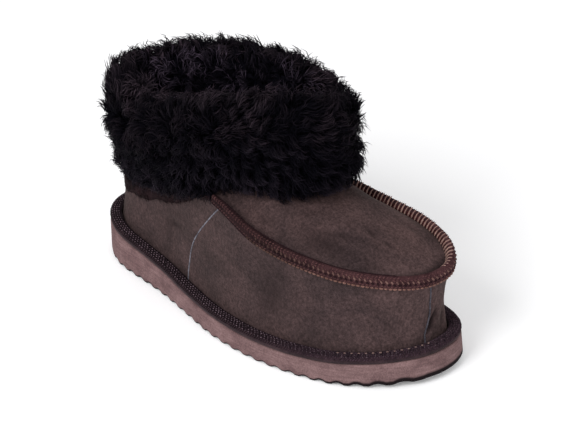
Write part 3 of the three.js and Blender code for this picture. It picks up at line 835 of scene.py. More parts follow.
side_levels = np.linspace(*SIDE_SPAN, SEAM_SAMPLES)
side_turns = np.arccos(1 - 2 * side_seam_share(side_levels))
side_line = on_upper(side_turns, side_levels, CORD_OFF)
zigzag_line = on_upper(2 * math.pi - side_turns, side_levels, ZIGZAG_OFF)
toe_levels = np.linspace(*TOE_SPAN, SEAM_SAMPLES)
toe_line = on_upper(toe_seam_turn(toe_levels), toe_levels, CORD_OFF)
grey_thread = worn_material("grey_thread", **GREY_THREAD)[0]
toe_thread = worn_material("toe_thread", **TOE_THREAD)[0]
zigzag = joined(
    bead(**ZIGZAG, yaw=ZIGZAG_SLANT, shift=(0, ZIGZAG_SPREAD, 0)),
    bead(**ZIGZAG, yaw=-ZIGZAG_SLANT, shift=(ZIGZAG_PITCH / 2, -ZIGZAG_SPREAD, 0)),
)
for name, line, shape, pitch, thread in (
    ("side_cord", side_line, bead(**CORD), CORD_PITCH, grey_thread),
    ("toe_cord", toe_line, bead(**CORD), CORD_PITCH, toe_thread),
    ("zigzag_stitches", zigzag_line, zigzag, ZIGZAG_PITCH, grey_thread),
):
    stitches = sew(name, [line], shape, pitch, thread)
    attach(stitches, "root")

# Welt binding: a flat ring of folded suede that covers the joint of upper and sole, stitched through to
# the sole. A herringbone braid with small pale dots lies on its top, the dots partly pale thread and partly
# painted glints, and a short row of pale stitches, painted bright as glints, shows beside the toe on the
# outer side.
WELT_PROFILE = {
    "inset": (0.9, 0.2, 0.1, 0.3, 0.9, 2.0, 3.4, 5.0, 6.8, 8.0, 8.5, 8.5),
    "up": (0.35, 1.2, 2.4, 3.6, 4.5, 4.9, 5.0, 5.0, 4.9, 4.6, 4.0, 0.35),
}
WELT_TURNS = 480
WELT_SUEDE = {
    "dark": (37, 26, 30), "light": (56, 41, 45), "patches": 90.0, "grain": 1100.0, "bump": 0.6, "sheen": 0.05}
BRAID = {"dark": (9, 5, 9), "light": (38, 27, 33), "patches": 500.0, "grain": 2200.0, "bump": 0.5}
BRAID_SHADE = {"along": (0.02, 0.1), "gain": (0.9, 3.1)}
BRAID_PITCH = 1.8
BRAID_STRAND = {"length": 2.2, "width": 1.1, "height": 1.1, "sides": 4, "bands": 2}
BRAID_SLANT = 0.85
BRAID_ROWS = (
    {"inset": 0.5, "up": 3.9, "lean": 1.0},
    {"inset": 1.6, "up": 4.8, "lean": 0.4},
    {"inset": 2.8, "up": 5.0, "lean": 0.0},
    {"inset": 4.0, "up": 5.0, "lean": 0.0},
    {"inset": 5.2, "up": 5.0, "lean": 0.0},
    {"inset": 6.4, "up": 4.95, "lean": 0.0},
    {"inset": 7.5, "up": 4.75, "lean": -0.3},
)
DOT_PITCH = 2.7
DOT_ROWS = (
    {"inset": 1.6, "up": 5.25, "lean": 0.3},
    {"inset": 3.2, "up": 5.5, "lean": 0.0},
    {"inset": 4.8, "up": 5.5, "lean": 0.0},
    {"inset": 6.4, "up": 5.4, "lean": 0.0},
)
DOT = {"length": 1.0, "width": 0.85, "height": 0.9, "sides": 4, "bands": 2}
DOT_BETWEEN = (DOT_PITCH / 2, 0.0, 0.0)
# The dots' pale colour is partly the thread's own and partly painted glints
DOT_THREAD = {"dark": (20, 12, 18), "light": (140, 118, 128), "patches": 330.0, **THREAD, "bump": 0.3}
DOT_SHADE = {"along": (0.0, 0.09), "gain": (1.0, 0.4)}
GLINT_PITCH = 4.5
GLINT_ROW = {"inset": 5.6, "up": 5.55, "lean": 0.0}
GLINT_TURNS = (2.35, 3.0)
GLINT = {"length": 1.8, "width": 1.2, "height": 1.0}
# The glint stitches are pale thread painted brighter as glints
GLINT_THREAD = {"dark": (88, 66, 66), "light": (152, 126, 119), "patches": 120.0, **THREAD, "bump": 0.3}


def welt_line(inset, up, turn):
    plan = sole_inset(turn, np.full_like(turn, inset))
    return raised(plan, sole_top(SOLE_LENGTH * share_of(turn)) + up)


def make_welt():
    profile = zip(WELT_PROFILE["inset"], WELT_PROFILE["up"])
    rows = [welt_line(inset, up, turns(WELT_TURNS)) for inset, up in profile]
    faces = grid_faces(WELT_TURNS, len(rows), closed_columns=True)
    return add_piece("welt_band", np.stack(rows, 1), faces, worn_material("welt_suede", **WELT_SUEDE)[0])


welt = make_welt()
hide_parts("welt_binding")
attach(welt, "root")


def welt_row(turn, inset, up, lean):
    """A row of stitches on the welt that looks up, or leans outwards where its edge turns down."""
    return welt_line(inset, up, turn), unit(raised(outward(sole_plan, turn) * lean, 1.0))


def shaded_along(made, along, gain):
    """Makes a finish lighter or darker from one place along the shoe to another, in metres."""
    material, tree, shader, worn, _ = made
    parts = node(tree, "ShaderNodeSeparateXYZ", {"Vector": object_place(tree)})
    shade = ranged(tree, parts.outputs["X"], *along, *gain)
    feed(tree, shader, {"Base Color": tinted(tree, worn.outputs["Color"], shade)})
    return material


braid_thread = shaded_along(worn_material("braid", **BRAID), **BRAID_SHADE)
dot_thread = shaded_along(worn_material("braid_dots", **DOT_THREAD), **DOT_SHADE)
for name, rows, shape, pitch, thread in (
    ("welt_braid", BRAID_ROWS[::2], bead(**BRAID_STRAND, yaw=BRAID_SLANT), BRAID_PITCH, braid_thread),
    ("welt_braid_back", BRAID_ROWS[1::2], bead(**BRAID_STRAND, yaw=-BRAID_SLANT), BRAID_PITCH, braid_thread),
    ("braid_dots", DOT_ROWS[::2], bead(**DOT), DOT_PITCH, dot_thread),
    ("braid_dots_between", DOT_ROWS[1::2], bead(**DOT, shift=DOT_BETWEEN), DOT_PITCH, dot_thread),
):
    lines = [welt_row(turns(WELT_TURNS), **row) for row in rows]
    braid = sew(name, lines, shape, pitch, thread, closed=True)
    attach(braid, "root")

glint_thread = worn_material("glint_thread", **GLINT_THREAD)[0]
glint_rows = [welt_row(np.linspace(*GLINT_TURNS, SEAM_SAMPLES), **GLINT_ROW)]
welt_stitches = sew("welt_stitches", glint_rows, bead(**GLINT), GLINT_PITCH, glint_thread)
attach(welt_stitches, "root")

# Apron seam: a folded binding that stands up where wall and apron meet, from one side of the cuff round
# the toe to the other. Whip stitches bar its inner face and show as ticks with dark holes between the
# plaits of its outer face, and a fine row of stitches holds its lower edge to the wall.
SEAM_START = 0.48
SEAM_TURNS = 400
SEAM_FOOT = 2.8
SEAM_PROFILE = {"out": (2.2, 3, 2.2, 0.2, -1.8, -2.6), "up": (-1.8, 1.8, 5.4, 7, 5.6, 2.8)}
SEAM_ROUNDING = 4
SEAM_INNER = 2.4
SEAM_SWELL = {"turn": (1.53, 1.9), "full": (0.66, 1)}
SEAM_CLIMB = 1.8
SEAM_CLEAR = 3
SEAM_LEAST = 0.2
SEAM_FLAT = 0.1
SEAM_GAP = 0.5
SEAM_WALL_STEP = 1 / 4
BINDING = {"dark": (41, 23, 26), "light": (68, 44, 46), "patches": 120.0, "grain": 1300.0, "bump": 0.6}
PLAIT_THREAD = {"dark": (44, 26, 29), "light": (90, 60, 60), "patches": 420.0, "grain": 2200.0, "bump": 0.5}
WHIP_THREAD = {"dark": (108, 82, 77), "light": (160, 129, 120), "patches": 260.0, **THREAD}
# Painted shade: the colour of the dark beads between the whip bars
WHIP_GAP_SHADE = {"dark": (50, 20, 22), "light": (72, 34, 36), "patches": 300.0, **THREAD, "bump": 0.3}
TICK_THREAD = {"dark": (68, 47, 45), "light": (112, 85, 79), "patches": 260.0, **THREAD}
EDGE_THREAD = {"dark": (86, 60, 53), "light": (128, 96, 88), "patches": 260.0, **THREAD}
# Painted shadow: the colour of the beads in the stitch holes, under the ridge's back end and along its crest
HOLE_SHADOW = {"dark": (34, 19, 22), "light": (34, 19, 22), "patches": 400.0, **THREAD, "bump": 0.2}
RIDGE_SHADE = {"along": (0.045, 0.115), "gain": (0.42, 1.15)}
PLAIT_SHADE = {"along": (0.03, 0.115), "gain": (0.78, 1.15)}
EDGE_SHADE = {"along": (0.03, 0.1), "gain": (0.25, 1.0)}
WHIP_PITCH = 2.85
WHIP_BAR = {"sides": 10, "bow": 0.075}
WHIP = {"length": 1.05, "width": 8.4, "height": 1.4, "shift": (0.0, 0.2, 0.1), **WHIP_BAR}
WHIP_SHADE = {"length": 1.7, "width": 7.8, "height": 0.7, "shift": (1.42, 0.2, -0.1), **WHIP_BAR}
LOW_WHIP = {"length": 1.5, "width": 3.6, "height": 1.2}
PLAIT_PITCH = 2.3
PLAIT = {"length": 2.3, "width": 1.3, "height": 1.0, "yaw": 0.6, "sides": 4, "bands": 2}
PLAIT_BACK = {**PLAIT, "yaw": -0.6}
TICK_PITCH = 3.4
TICK = {"length": 1.3, "width": 2.8, "height": 1.1, "yaw": 0.7}
TICK_HOLE = {"length": 1.8, "width": 1.4, "height": 0.8, "shift": (1.6, -1.4, 0.0)}
EDGE_PITCH = 2.9
EDGE_STITCH = {"length": 2.7, "width": 1.7, "height": 1.5}
SHADOW_PITCH = 2.0
SHADOW_LINE = {"length": 3.2, "width": 1.5, "height": 0.8}
RIDGE_SINK = 0.4
RIDGE_TILT = 0.35
RIDGE_WHOLE = (1.54, 4.74)
RIDGE_TOP = (1.54, 3.3)
RIDGE_TICKS = (1.86, 4.5)
RIDGE_EDGE = (1.8, 4.5)
RIDGE_BACK = (1.54, 1.84)
RIDGE_CREST = (1.6, 2.7)
RIDGE_OUTER = (1.6, 3.25)
RIDGE_INNER = (3.2, 4.62)


def seam_frame(turn):
    """The corner of wall and apron, the way out from it, and the slopes of wall and apron beside it."""
    corner = upper_point(turn, 1)
    under = upper_point(turn, 1 - SEAM_WALL_STEP) - corner
    over = upper_point(turn, 1 + SEAM_WALL_STEP) - corner
    out = raised(outward(lambda t: upper_point(t, 1)[..., :2], turn), 0.0)
    ahead = unit(upper_point(turn + TURN_STEP, 1) - upper_point(turn - TURN_STEP, 1))
    along = np.stack([-out[:, 1], out[:, 0], np.zeros_like(turn)], -1)
    wall_slope = (under * out).sum(-1) / -under[:, 2]
    inwards = np.maximum(-(over * out).sum(-1), SEAM_LEAST)
    slip = (over * along).sum(-1) / (ahead * along).sum(-1)
    apron_slope = (over[:, 2] - slip * ahead[:, 2]) / inwards
    return corner, out, wall_slope, apron_slope


def seam_place(turn, out_by, up_by):
    corner, out, _, _ = seam_frame(turn)
    place = corner + out * np.asarray(out_by)[..., None]
    place[..., 2] = corner[..., 2] + up_by
    return place


def ridge_swell(turn):
    """How full the ridge is: slim where it comes out of the cuff, and full along the rest."""
    return np.interp(math.pi - np.abs(turn - math.pi), SEAM_SWELL["turn"], SEAM_SWELL["full"])


def seam_reach(apron_slope, up):
    return np.minimum(SEAM_INNER, up / np.maximum(apron_slope, SEAM_FLAT))


def between(before, here, after, beyond, t):
    """A place a share of the way from one point to the next, on a smooth line through four points."""
    return 0.5 * (2 * here + (after - before) * t
                  + (2 * before - 5 * here + 4 * after - beyond) * t**2
                  + (3 * here - before - 3 * after + beyond) * t**3)


def smooth_loop(points, steps):
    """A rounder closed loop through the points of each section."""
    before, after, beyond = (np.roll(points, places, 1) for places in (1, -1, -2))
    made = [between(before, points, after, beyond, step / steps) for step in range(steps)]
    return np.stack(made, 2).reshape(points.shape[0], -1, 3)


def make_apron_seam():
    first = math.acos(1 - 2 * SEAM_START)
    turn = np.linspace(first, 2 * math.pi - first, SEAM_TURNS)
    _, _, wall_slope, apron_slope = seam_frame(turn)
    inner = seam_reach(apron_slope, SEAM_CLIMB)
    lift = SEAM_GAP / np.hypot(1, apron_slope)
    notch = seam_place(turn, np.full_like(turn, SEAM_GAP), SEAM_GAP)
    foot = seam_place(turn, SEAM_FOOT * wall_slope + SEAM_GAP, -SEAM_FOOT)
    rim = seam_place(turn, -inner + lift * apron_slope, inner * apron_slope + lift)
    rows = []
    full = ridge_swell(turn)
    for out_by, up_by in zip(SEAM_PROFILE["out"], SEAM_PROFILE["up"]):
        reach = out_by * full
        if out_by < 0:
            reach = np.maximum(reach, -seam_reach(apron_slope, up_by - SEAM_CLEAR))
        rows.append(seam_place(turn, reach, up_by * full))
    sections = smooth_loop(np.stack([notch, foot, *rows, rim], 1), SEAM_ROUNDING)
    binding = shaded_along(worn_material("seam_binding", **BINDING), **RIDGE_SHADE)
    return add_piece("seam_ridge", sections, capped_faces(*sections.shape[:2]), binding)


ridge = make_apron_seam()
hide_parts("apron_seam")
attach(ridge, "root")


def ridge_line(span, out_by, up_by, lean, tilt=RIDGE_TILT):
    """A line along the ridge over a span of turns, looking outwards for a lean of 1 and inwards for -1."""
    turn = np.linspace(*span, SEAM_TURNS)
    _, out, _, apron_slope = seam_frame(turn)
    full = ridge_swell(turn)
    reach = out_by * full
    if out_by < 0:
        reach = np.maximum(reach, -seam_reach(apron_slope, up_by - SEAM_CLEAR) - RIDGE_SINK)
    facing = unit(out * lean + np.array([0, 0, tilt]))
    return seam_place(turn, reach, up_by * full), facing


whip_thread = worn_material("whip_thread", **WHIP_THREAD)[0]
whip_gap_shade = worn_material("whip_gap_shade", **WHIP_GAP_SHADE)[0]
hole_shade = worn_material("painted_hole_shadow", **HOLE_SHADOW)[0]
edge_thread = shaded_along(worn_material("edge_thread", **EDGE_THREAD), **EDGE_SHADE)
plait_thread = shaded_along(worn_material("plait", **PLAIT_THREAD), **PLAIT_SHADE)
tick_thread = shaded_along(worn_material("tick_thread", **TICK_THREAD), **RIDGE_SHADE)
# Dark beads paint shade between the whip bars and in the holes beside the ticks, a shadow under the ridge
# where it leaves the cuff, and a shadow along the far side of its crest
RIDGE_ROWS = (
    {"name": "whip_stitches", "shape": WHIP, "pitch": WHIP_PITCH, "thread": whip_thread,
     "line": {"span": RIDGE_INNER, "out_by": -1.9, "up_by": 5.2, "lean": -1, "tilt": 0.8}},
    {"name": "whip_shades", "shape": WHIP_SHADE, "pitch": WHIP_PITCH, "thread": whip_gap_shade,
     "line": {"span": RIDGE_INNER, "out_by": -1.9, "up_by": 5.2, "lean": -1, "tilt": 0.8}},
    {"name": "low_whips", "shape": LOW_WHIP, "pitch": WHIP_PITCH, "thread": whip_thread,
     "line": {"span": RIDGE_OUTER, "out_by": -2.3, "up_by": 3.6, "lean": -1}},
    {"name": "plait_top", "shape": PLAIT, "pitch": PLAIT_PITCH, "thread": plait_thread,
     "line": {"span": RIDGE_TOP, "out_by": 1.3, "up_by": 6.2, "lean": 1, "tilt": 1.4}},
    {"name": "plait_upper", "shape": PLAIT_BACK, "pitch": PLAIT_PITCH, "thread": plait_thread,
     "line": {"span": RIDGE_WHOLE, "out_by": 2.3, "up_by": 5.0, "lean": 1, "tilt": 0.6}},
    {"name": "plait_lower", "shape": PLAIT, "pitch": PLAIT_PITCH, "thread": plait_thread,
     "line": {"span": RIDGE_WHOLE, "out_by": 2.85, "up_by": 0.6, "lean": 1, "tilt": 0.1}},
    {"name": "whip_ticks", "shape": TICK, "pitch": TICK_PITCH, "thread": tick_thread,
     "line": {"span": RIDGE_TICKS, "out_by": 2.9, "up_by": 3.6, "lean": 1}},
    {"name": "tick_holes", "shape": TICK_HOLE, "pitch": TICK_PITCH, "thread": hole_shade,
     "line": {"span": RIDGE_TICKS, "out_by": 2.9, "up_by": 3.4, "lean": 1}},
    {"name": "edge_stitches", "shape": EDGE_STITCH, "pitch": EDGE_PITCH, "thread": edge_thread,
     "line": {"span": RIDGE_EDGE, "out_by": 2.5, "up_by": -1.3, "lean": 1}},
    {"name": "ridge_gap", "shape": SHADOW_LINE, "pitch": SHADOW_PITCH, "thread": hole_shade,
     "line": {"span": RIDGE_BACK, "out_by": 2.2, "up_by": -2.0, "lean": 1}},
    {"name": "crest_line", "shape": SHADOW_LINE, "pitch": SHADOW_PITCH, "thread": hole_shade,
     "line": {"span": RIDGE_CREST, "out_by": -0.5, "up_by": 6.9, "lean": 0, "tilt": 1}},
)
for row in RIDGE_ROWS:
    line = ridge_line(**row["line"])
    stitches = sew(row["name"], [line], bead(**row["shape"]), row["pitch"], row["thread"])
    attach(stitches, "root")

# Cuff: a collar of long-haired sheepskin folded over the top line and turned down outside, sewn to the
# upper at the fold. Its skin is a ring that hugs the upper, and dark curly wool stands off it in locks.
# At the heel a ragged hem of the hide with a short brown nap shows below the wool.
CUFF_PROFILE = {
    "rise": (0, 0.1, 0.22, 0.48, 0.72, 0.92),
    "back": (2, 2, 6, 10.5, 12, 10),
    "front": (3, 9, 12.5, 12.5, 12, 8),
}
CUFF_CREST = {"out": (5, -3, -11, -13, -10), "up": (10, 12, 4, -14, -28)}
INNER_LEG = 2.35
CUFF_TURNS = 260
CUFF_STEPS = 51
# The rings of the cuff start a hair past the line where outer and inner side meet
TURN_NUDGE = 1e-4
CUFF_LUMPS = ({"size": 21, "depth": 2.2}, {"size": 9, "depth": 1.1})
TROUGH = {"place": 0.34, "width": 0.05, "depth": 3.2, "share": 0.6}
TROUGH_LUMPS = {"size": 40, "depth": 0.8}
HIDE = {
    "share": (0, 0.1, 0.2, 0.3, 0.42, 0.5, 0.56, 1),
    "drop": (9, 9.5, 8, 4, 1, 0.5, 0, 0),
    "bare": (0, 0, 2, 5, 4, 0, 0, 0),
}
HIDE_OFF = (2.2, 2.0, 1.8, 1.3)
HIDE_LEAST = 0.5
HIDE_RAG = {"size": 6, "depth": 2.6}
RAG_LEVEL = 0.5
HIDE_END = 0.5
BARE_END = 0.5
HEM_HOLD = {"place": 0.1, "rise": 10}
HEM_BACK = {"share": 0.45, "rise": 12}
SKIN_STEPS = 10
HIDE_DARK = (18, 9, 11)
HIDE_LIGHT = (37, 22, 25)
HIDE_FINISH = {"patches": 150.0, "grain": 900.0, "bump": 0.8}
NAP = {"off": 0.5, "reach": 0.23, "density": 1000000, "seed": 16}
NAP_TIP = (72, 49, 50)
WOOL = {"patches": 120.0, "grain": 1500.0, "bump": 0.5, "gloss": 0.05}
# The root and middle colours are partly the wool's own dark colour and partly painted shade deep in the
# fleece; the tip colours are partly its own and partly painted highlight, brownish on the rim
WOOL_ROOT = (1, 1, 6)
WOOL_MIDDLE = (8, 6, 13)
WOOL_TIP = (94, 81, 97)
WOOL_SPARSE = 2.6
WOOL_ROUGHNESS = (0.8, 0.55)
RIM_TIP_HIGHLIGHT = (89, 74, 84)
STRAND_LENGTH = 14
STRAND_ROOT = 0.38
STRAND_TAPER = 0.6
STRAND_RINGS = 3
STRAND_SIDES = 3
STRANDS = (
    {"bend": 1.6, "wave": 1.2},
    {"bend": 2.1, "wave": 0.8},
    {"bend": 2.5, "wave": 1.1},
    {"bend": 2.9, "wave": 0.7},
    {"bend": 3.3, "wave": 0.9},
)
STRAND_ROLL = 0.35
STRAND_STRAY = 0.16
STRAND_SIZES = (0.75, 1.15)
LOCK_SIZE = 7
LOCK_GATHER = 0.8
LOCK_TURN = 1.1
LOCK_SIZES = (0.75, 1.15)
SWIRL_SIZE = 22
SWIRL_TURN = 3.6
SWIRL_SPREAD = (0.35, 0.65)
NOISE_OFFSET = (-0.5, -0.5, -0.5)
FLEECE_BANDS = (
    {"name": "fleece_hem", "start": 0.0, "end": 0.24, "seed": 11, "density": 760000, "rim": False},
    {"name": "fleece_lower", "start": 0.24, "end": 0.42, "seed": 12, "density": 760000, "rim": False},
    {"name": "fleece_upper", "start": 0.42, "end": 0.56, "seed": 13, "density": 760000, "rim": True},
    {"name": "fleece_crest", "start": 0.56, "end": 0.74, "seed": 14, "density": 760000, "rim": True},
    {"name": "fleece_inside", "start": 0.74, "end": 1.0, "seed": 15, "density": 520000, "rim": False},
)
# The shine column is painted light on the wool: lighter over the crest and the top of its inner face, and
# painted shade in the trough and deep inside
FLEECE = {
    "place": (0, 0.12, 0.25, 0.34, 0.45, 0.56, 0.64, 0.74, 0.86, 1),
    "fall": (-1.2, -1, -0.7, -0.5, -0.2, 0.5, 1, 0.6, -0.2, -0.6),
    "reach": (0.65, 0.8, 1, 0.85, 1, 1, 1, 0.95, 0.8, 0.7),
    "shine": (0.8, 0.85, 0.85, 0.5, 0.75, 0.95, 1, 1.45, 1.3, 0.6),
}
FLEECE_UP = 0.25
COMB_MIDDLE = 0.45
COMB_ALONG = 1.6
NEAR_HEM = {"place": 0.3, "rise": 8, "calm": 0.85, "shorter": 0.35}


def cuff_outline(turn):
    """The skin under the fleece for each turn, from the hem up over the crest and down inside."""
    share = share_of(turn)
    collar = collar_point(turn)
    out = raised(outward(lambda t: egg_plan(COLLAR, t), turn), 0.0)
    hem = hem_height(share)
    rows = []
    for rise, back, front in zip(CUFF_PROFILE["rise"], CUFF_PROFILE["back"], CUFF_PROFILE["front"]):
        height = hem + (collar[:, 2] - hem) * rise
        off = back + (front - back) * share
        face = upper_point(turn, level_at(turn, np.minimum(height, collar[:, 2]))) + out * off[:, None]
        face[:, 2] = height
        rows.append(face)
    for out_by, up_by in zip(CUFF_CREST["out"], CUFF_CREST["up"]):
        rows.append(collar + out * out_by + np.array([0, 0, up_by]))
    return np.stack(rows, 1)


def smooth_rows(points, steps):
    """Points along a smooth open line through the points of each section, evenly by number."""
    count = points.shape[1]
    place = np.linspace(0, count - 1, steps)
    i = np.minimum(place.astype(int), count - 2)
    before = points[:, np.maximum(i - 1, 0)]
    beyond = points[:, np.minimum(i + 2, count - 1)]
    return between(before, points[:, i], points[:, i + 1], beyond, (place - i)[None, :, None])


def grid_normals(points):
    along = np.roll(points, -1, 0) - np.roll(points, 1, 0)
    rise = np.gradient(points, axis=1)
    return unit(np.cross(along, rise))


def wool_material(name, root, middle, tip):
    """Wool with painted shade at its roots and painted highlights at the tips of the lighter locks, over its
    own colour.
    """
    material, tree, shader, worn, _ = worn_material(name, root, middle, **WOOL)
    tone = value_on(tree, "tone")
    lit = maths(tree, "MULTIPLY", value_on(tree, "along"), tone)
    bright = maths(tree, "POWER", lit, WOOL_SPARSE)
    feed(tree, shader, {
        "Base Color": mix(tree, bright, worn.outputs["Color"], paint(tip)),
        "Roughness": ranged(tree, tone, 0.0, 1.0, *WOOL_ROUGHNESS),
    })
    return material


def strand(bend, wave):
    """A curved strand of wool in millimetres that tapers from its root to a point, and its share along it."""
    points = []
    along = []
    bow = STRAND_LENGTH / bend
    for ring in range(STRAND_RINGS):
        t = ring / STRAND_RINGS
        angle = bend * t
        sideways = wave * math.sin(2 * math.pi * t)
        middle = Vector(((1 - math.cos(angle)) * bow, sideways, math.sin(angle) * bow))
        inwards = Vector((math.cos(angle), 0, -math.sin(angle)))
        for k in range(STRAND_SIDES):
            side = 2 * math.pi * k / STRAND_SIDES
            spoke = inwards * math.cos(side) + Vector((0, math.sin(side), 0))
            points.append(middle + spoke * STRAND_ROOT * (1 - STRAND_TAPER * t))
            along.append(t)
    points.append(Vector(((1 - math.cos(bend)) * bow, wave * math.sin(2 * math.pi), math.sin(bend) * bow)))
    along.append(1.0)
    tip = STRAND_SIDES * STRAND_RINGS
    top = tip - STRAND_SIDES
    faces = [(0, *range(STRAND_SIDES - 1, 0, -1))]
    for k in range(STRAND_SIDES):
        after = (k + 1) % STRAND_SIDES
        for base in range(0, top, STRAND_SIDES):
            above = base + STRAND_SIDES
            faces.append((base + k, base + after, above + after, above + k))
        faces.append((top + k, top + after, tip))
    return np.array(points), faces, along


def scaled(tree, vector, scale):
    made = node(tree, "ShaderNodeVectorMath", {0: vector, "Scale": scale}, operation="SCALE")
    return made.outputs["Vector"]


def added(tree, first, second, operation="ADD"):
    return node(tree, "ShaderNodeVectorMath", {0: first, 1: second}, operation=operation).outputs["Vector"]


def fleece_tree(strands):
    """Strands that rise off a surface and curl over as it is combed, in locks that each lie their own way."""
    tree, given, result = tree_of("GeometryNodeTree", "fleece", {
        "Geometry": "Geometry", "Density": "Float", "Lock": "Float", "Swirl": "Float", "Seed": "Int",
        "Wool": "Material"}, {"Geometry": "Geometry"})
    seed = given["Seed"]

    def times(first, second):
        return maths(tree, "MULTIPLY", first, second)

    roots = node(tree, "GeometryNodeDistributePointsOnFaces", {
        "Mesh": given["Geometry"], "Density": times(given["Density"], stored(tree, "cover")), "Seed": seed})
    place = node(tree, "GeometryNodeInputPosition").outputs["Position"]
    cells = maths(tree, "DIVIDE", 1.0, given["Lock"])
    locks = node(tree, "ShaderNodeTexVoronoi", {"Vector": place, "Scale": cells}).outputs
    lock = node(tree, "ShaderNodeSeparateXYZ", {"Vector": locks["Color"]})
    swirl = noise_node(tree, place, maths(tree, "DIVIDE", 1.0, given["Swirl"])).outputs
    to_lock = scaled(tree, added(tree, locks["Position"], place, "SUBTRACT"), times(cells, LOCK_GATHER))
    stray = node(tree, "FunctionNodeRandomValue", {
        0: [-STRAND_STRAY] * 3, 1: [STRAND_STRAY] * 3, "Seed": seed}, data_type="FLOAT_VECTOR").outputs[0]
    way = added(tree, stored(tree, "lay", "FLOAT_VECTOR"), added(tree, to_lock, stray))
    own_way = scaled(tree, added(tree, locks["Color"], NOISE_OFFSET), LOCK_TURN)
    turned_way = scaled(tree, added(tree, swirl["Color"], NOISE_OFFSET), SWIRL_TURN)
    comb = added(tree, stored(tree, "comb", "FLOAT_VECTOR"), added(tree, own_way, turned_way))
    kinds = node(tree, "GeometryNodeJoinGeometry")
    for source in reversed(strands):
        one = node(tree, "GeometryNodeObjectInfo", {"Object": source, "As Instance": True})
        feed(tree, kinds, {"Geometry": one.outputs["Geometry"]})
    pick = node(tree, "FunctionNodeRandomValue", {
        4: 0, 5: len(strands) - 1, "Seed": seed}, data_type="INT").outputs[2]
    lock_length = ranged(tree, lock.outputs["Y"], 0.0, 1.0, *LOCK_SIZES)
    length = times(times(stored(tree, "reach"), lock_length), chance(tree, seed, *STRAND_SIZES))
    grown = node(tree, "GeometryNodeInstanceOnPoints", {
        "Points": roots.outputs["Points"], "Instance": kinds.outputs["Geometry"], "Pick Instance": True,
        "Instance Index": pick, "Scale": length,
        "Rotation": stood(tree, way, comb, chance(tree, seed, -STRAND_ROLL, STRAND_ROLL))})
    patch = ranged(tree, swirl["Fac"], *SWIRL_SPREAD)
    tone = times(maths(tree, "ADD", patch, chance(tree, seed, 0.0, 1.0)), 0.5)
    # Each strand's tone is scaled by the painted light of the shine values
    toned = node(tree, "GeometryNodeStoreNamedAttribute", {
        "Geometry": grown.outputs["Instances"], "Name": "tone", "Value": times(tone, stored(tree, "shine"))},
        data_type="FLOAT", domain="INSTANCE")
    end_tree(tree, result, toned.outputs["Geometry"], given["Wool"])
    return tree


wool = wool_material("fleece", WOOL_ROOT, WOOL_MIDDLE, WOOL_TIP)
rim_highlight_wool = wool_material("fleece_rim_highlight", WOOL_ROOT, WOOL_MIDDLE, RIM_TIP_HIGHLIGHT)
hide = worn_material("hide_hem", HIDE_DARK, HIDE_LIGHT, **HIDE_FINISH)[0]
cuff_turn = turns(CUFF_TURNS) + TURN_NUDGE
cuff_place = np.linspace(0, 1, CUFF_STEPS)


def make_cuff_face():
    """The skin with soft lumps and a trough between two rolls of fleece."""
    face = smooth_rows(cuff_outline(cuff_turn), CUFF_STEPS)
    moved = sum(lumps(face, **lump) for lump in CUFF_LUMPS)
    trough = bell((cuff_place - TROUGH["place"]) / TROUGH["width"])
    moved = moved - TROUGH["depth"] * trough * (TROUGH["share"] + lumps(face, **TROUGH_LUMPS))
    moved = moved * ramp(cuff_place - HEM_HOLD["place"], HEM_HOLD["rise"])
    return face + grid_normals(face) * moved[..., None]


cuff_face = make_cuff_face()
bare_height = np.interp(share_of(cuff_turn), HIDE["share"], HIDE["bare"])
cuff_bare = cuff_face[..., 2] - cuff_face[:, :1, 2] < bare_height[:, None]
cuff_bare = cuff_bare & (cuff_place < BARE_END)


def make_cuff_skin():
    turn = cuff_turn[:, None]
    inner_levels = np.linspace(INNER_LEG, LEVEL_TOP, SKIN_STEPS)[None, :]
    hem_level = level_at(cuff_turn, hem_height(share_of(cuff_turn)))
    outer_levels = LEVEL_TOP + (hem_level[:, None] - LEVEL_TOP) * np.linspace(0, 1, SKIN_STEPS)[None, :]
    inside = upper_point(turn, inner_levels) - upper_normal(turn, inner_levels) * (WALL + PIECE_GAP)
    outside = upper_point(turn, outer_levels) + upper_normal(turn, outer_levels) * PIECE_GAP
    inside[:, -1, 2] += PIECE_GAP
    outside[:, 0, 2] += PIECE_GAP
    sections = np.concatenate([cuff_face, inside, outside], 1)
    faces = grid_faces(*sections.shape[:2], closed_columns=True)
    piece = add_piece("cuff_skin", sections, faces, wool)
    piece.data.materials.append(hide)
    bare = np.zeros(sections.shape[:2], int)
    bare[:, :CUFF_STEPS] = cuff_bare
    piece.data.polygons.foreach_set("material_index", [bare.ravel()[corner[0]] for corner in faces])
    for name in ("along", "tone"):
        add_values(piece, name, np.zeros(sections.shape[:2]))
    return piece


cuff_skin = make_cuff_skin()
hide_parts("cuff")
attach(cuff_skin, "root")


def hide_faces():
    """The hide's hem: its outer face from the edge up, its inner face down again, and the way out."""
    end = math.acos(1 - 2 * HIDE_END)
    turn = np.linspace(-end, end, CUFF_TURNS) + TURN_NUDGE
    hem = hem_height(share_of(turn))
    drop = np.interp(share_of(turn), HIDE["share"], HIDE["drop"])
    ragged = lumps(upper_point(turn, RAG_LEVEL), **HIDE_RAG)
    outer = []
    inner = []
    normals = []
    for i, off in enumerate(HIDE_OFF):
        part = i / (len(HIDE_OFF) - 1)
        level = level_at(turn, hem - (drop + np.minimum(ragged, drop / 2)) * part)
        face = upper_point(turn, level)
        normal = upper_normal(turn, level)
        outer.append(face + normal * off)
        inner.append(face + normal * HIDE_LEAST)
        normals.append(normal)
    return np.stack(outer[::-1], 1), np.stack(inner, 1), np.stack(normals[::-1], 1)


hide_outer, hide_inner, hide_normal = hide_faces()
hide_sections = np.concatenate([hide_outer, hide_inner], 1)
hide_hem = add_piece("hide_hem", hide_sections, capped_faces(*hide_sections.shape[:2]), hide)
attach(hide_hem, "root")

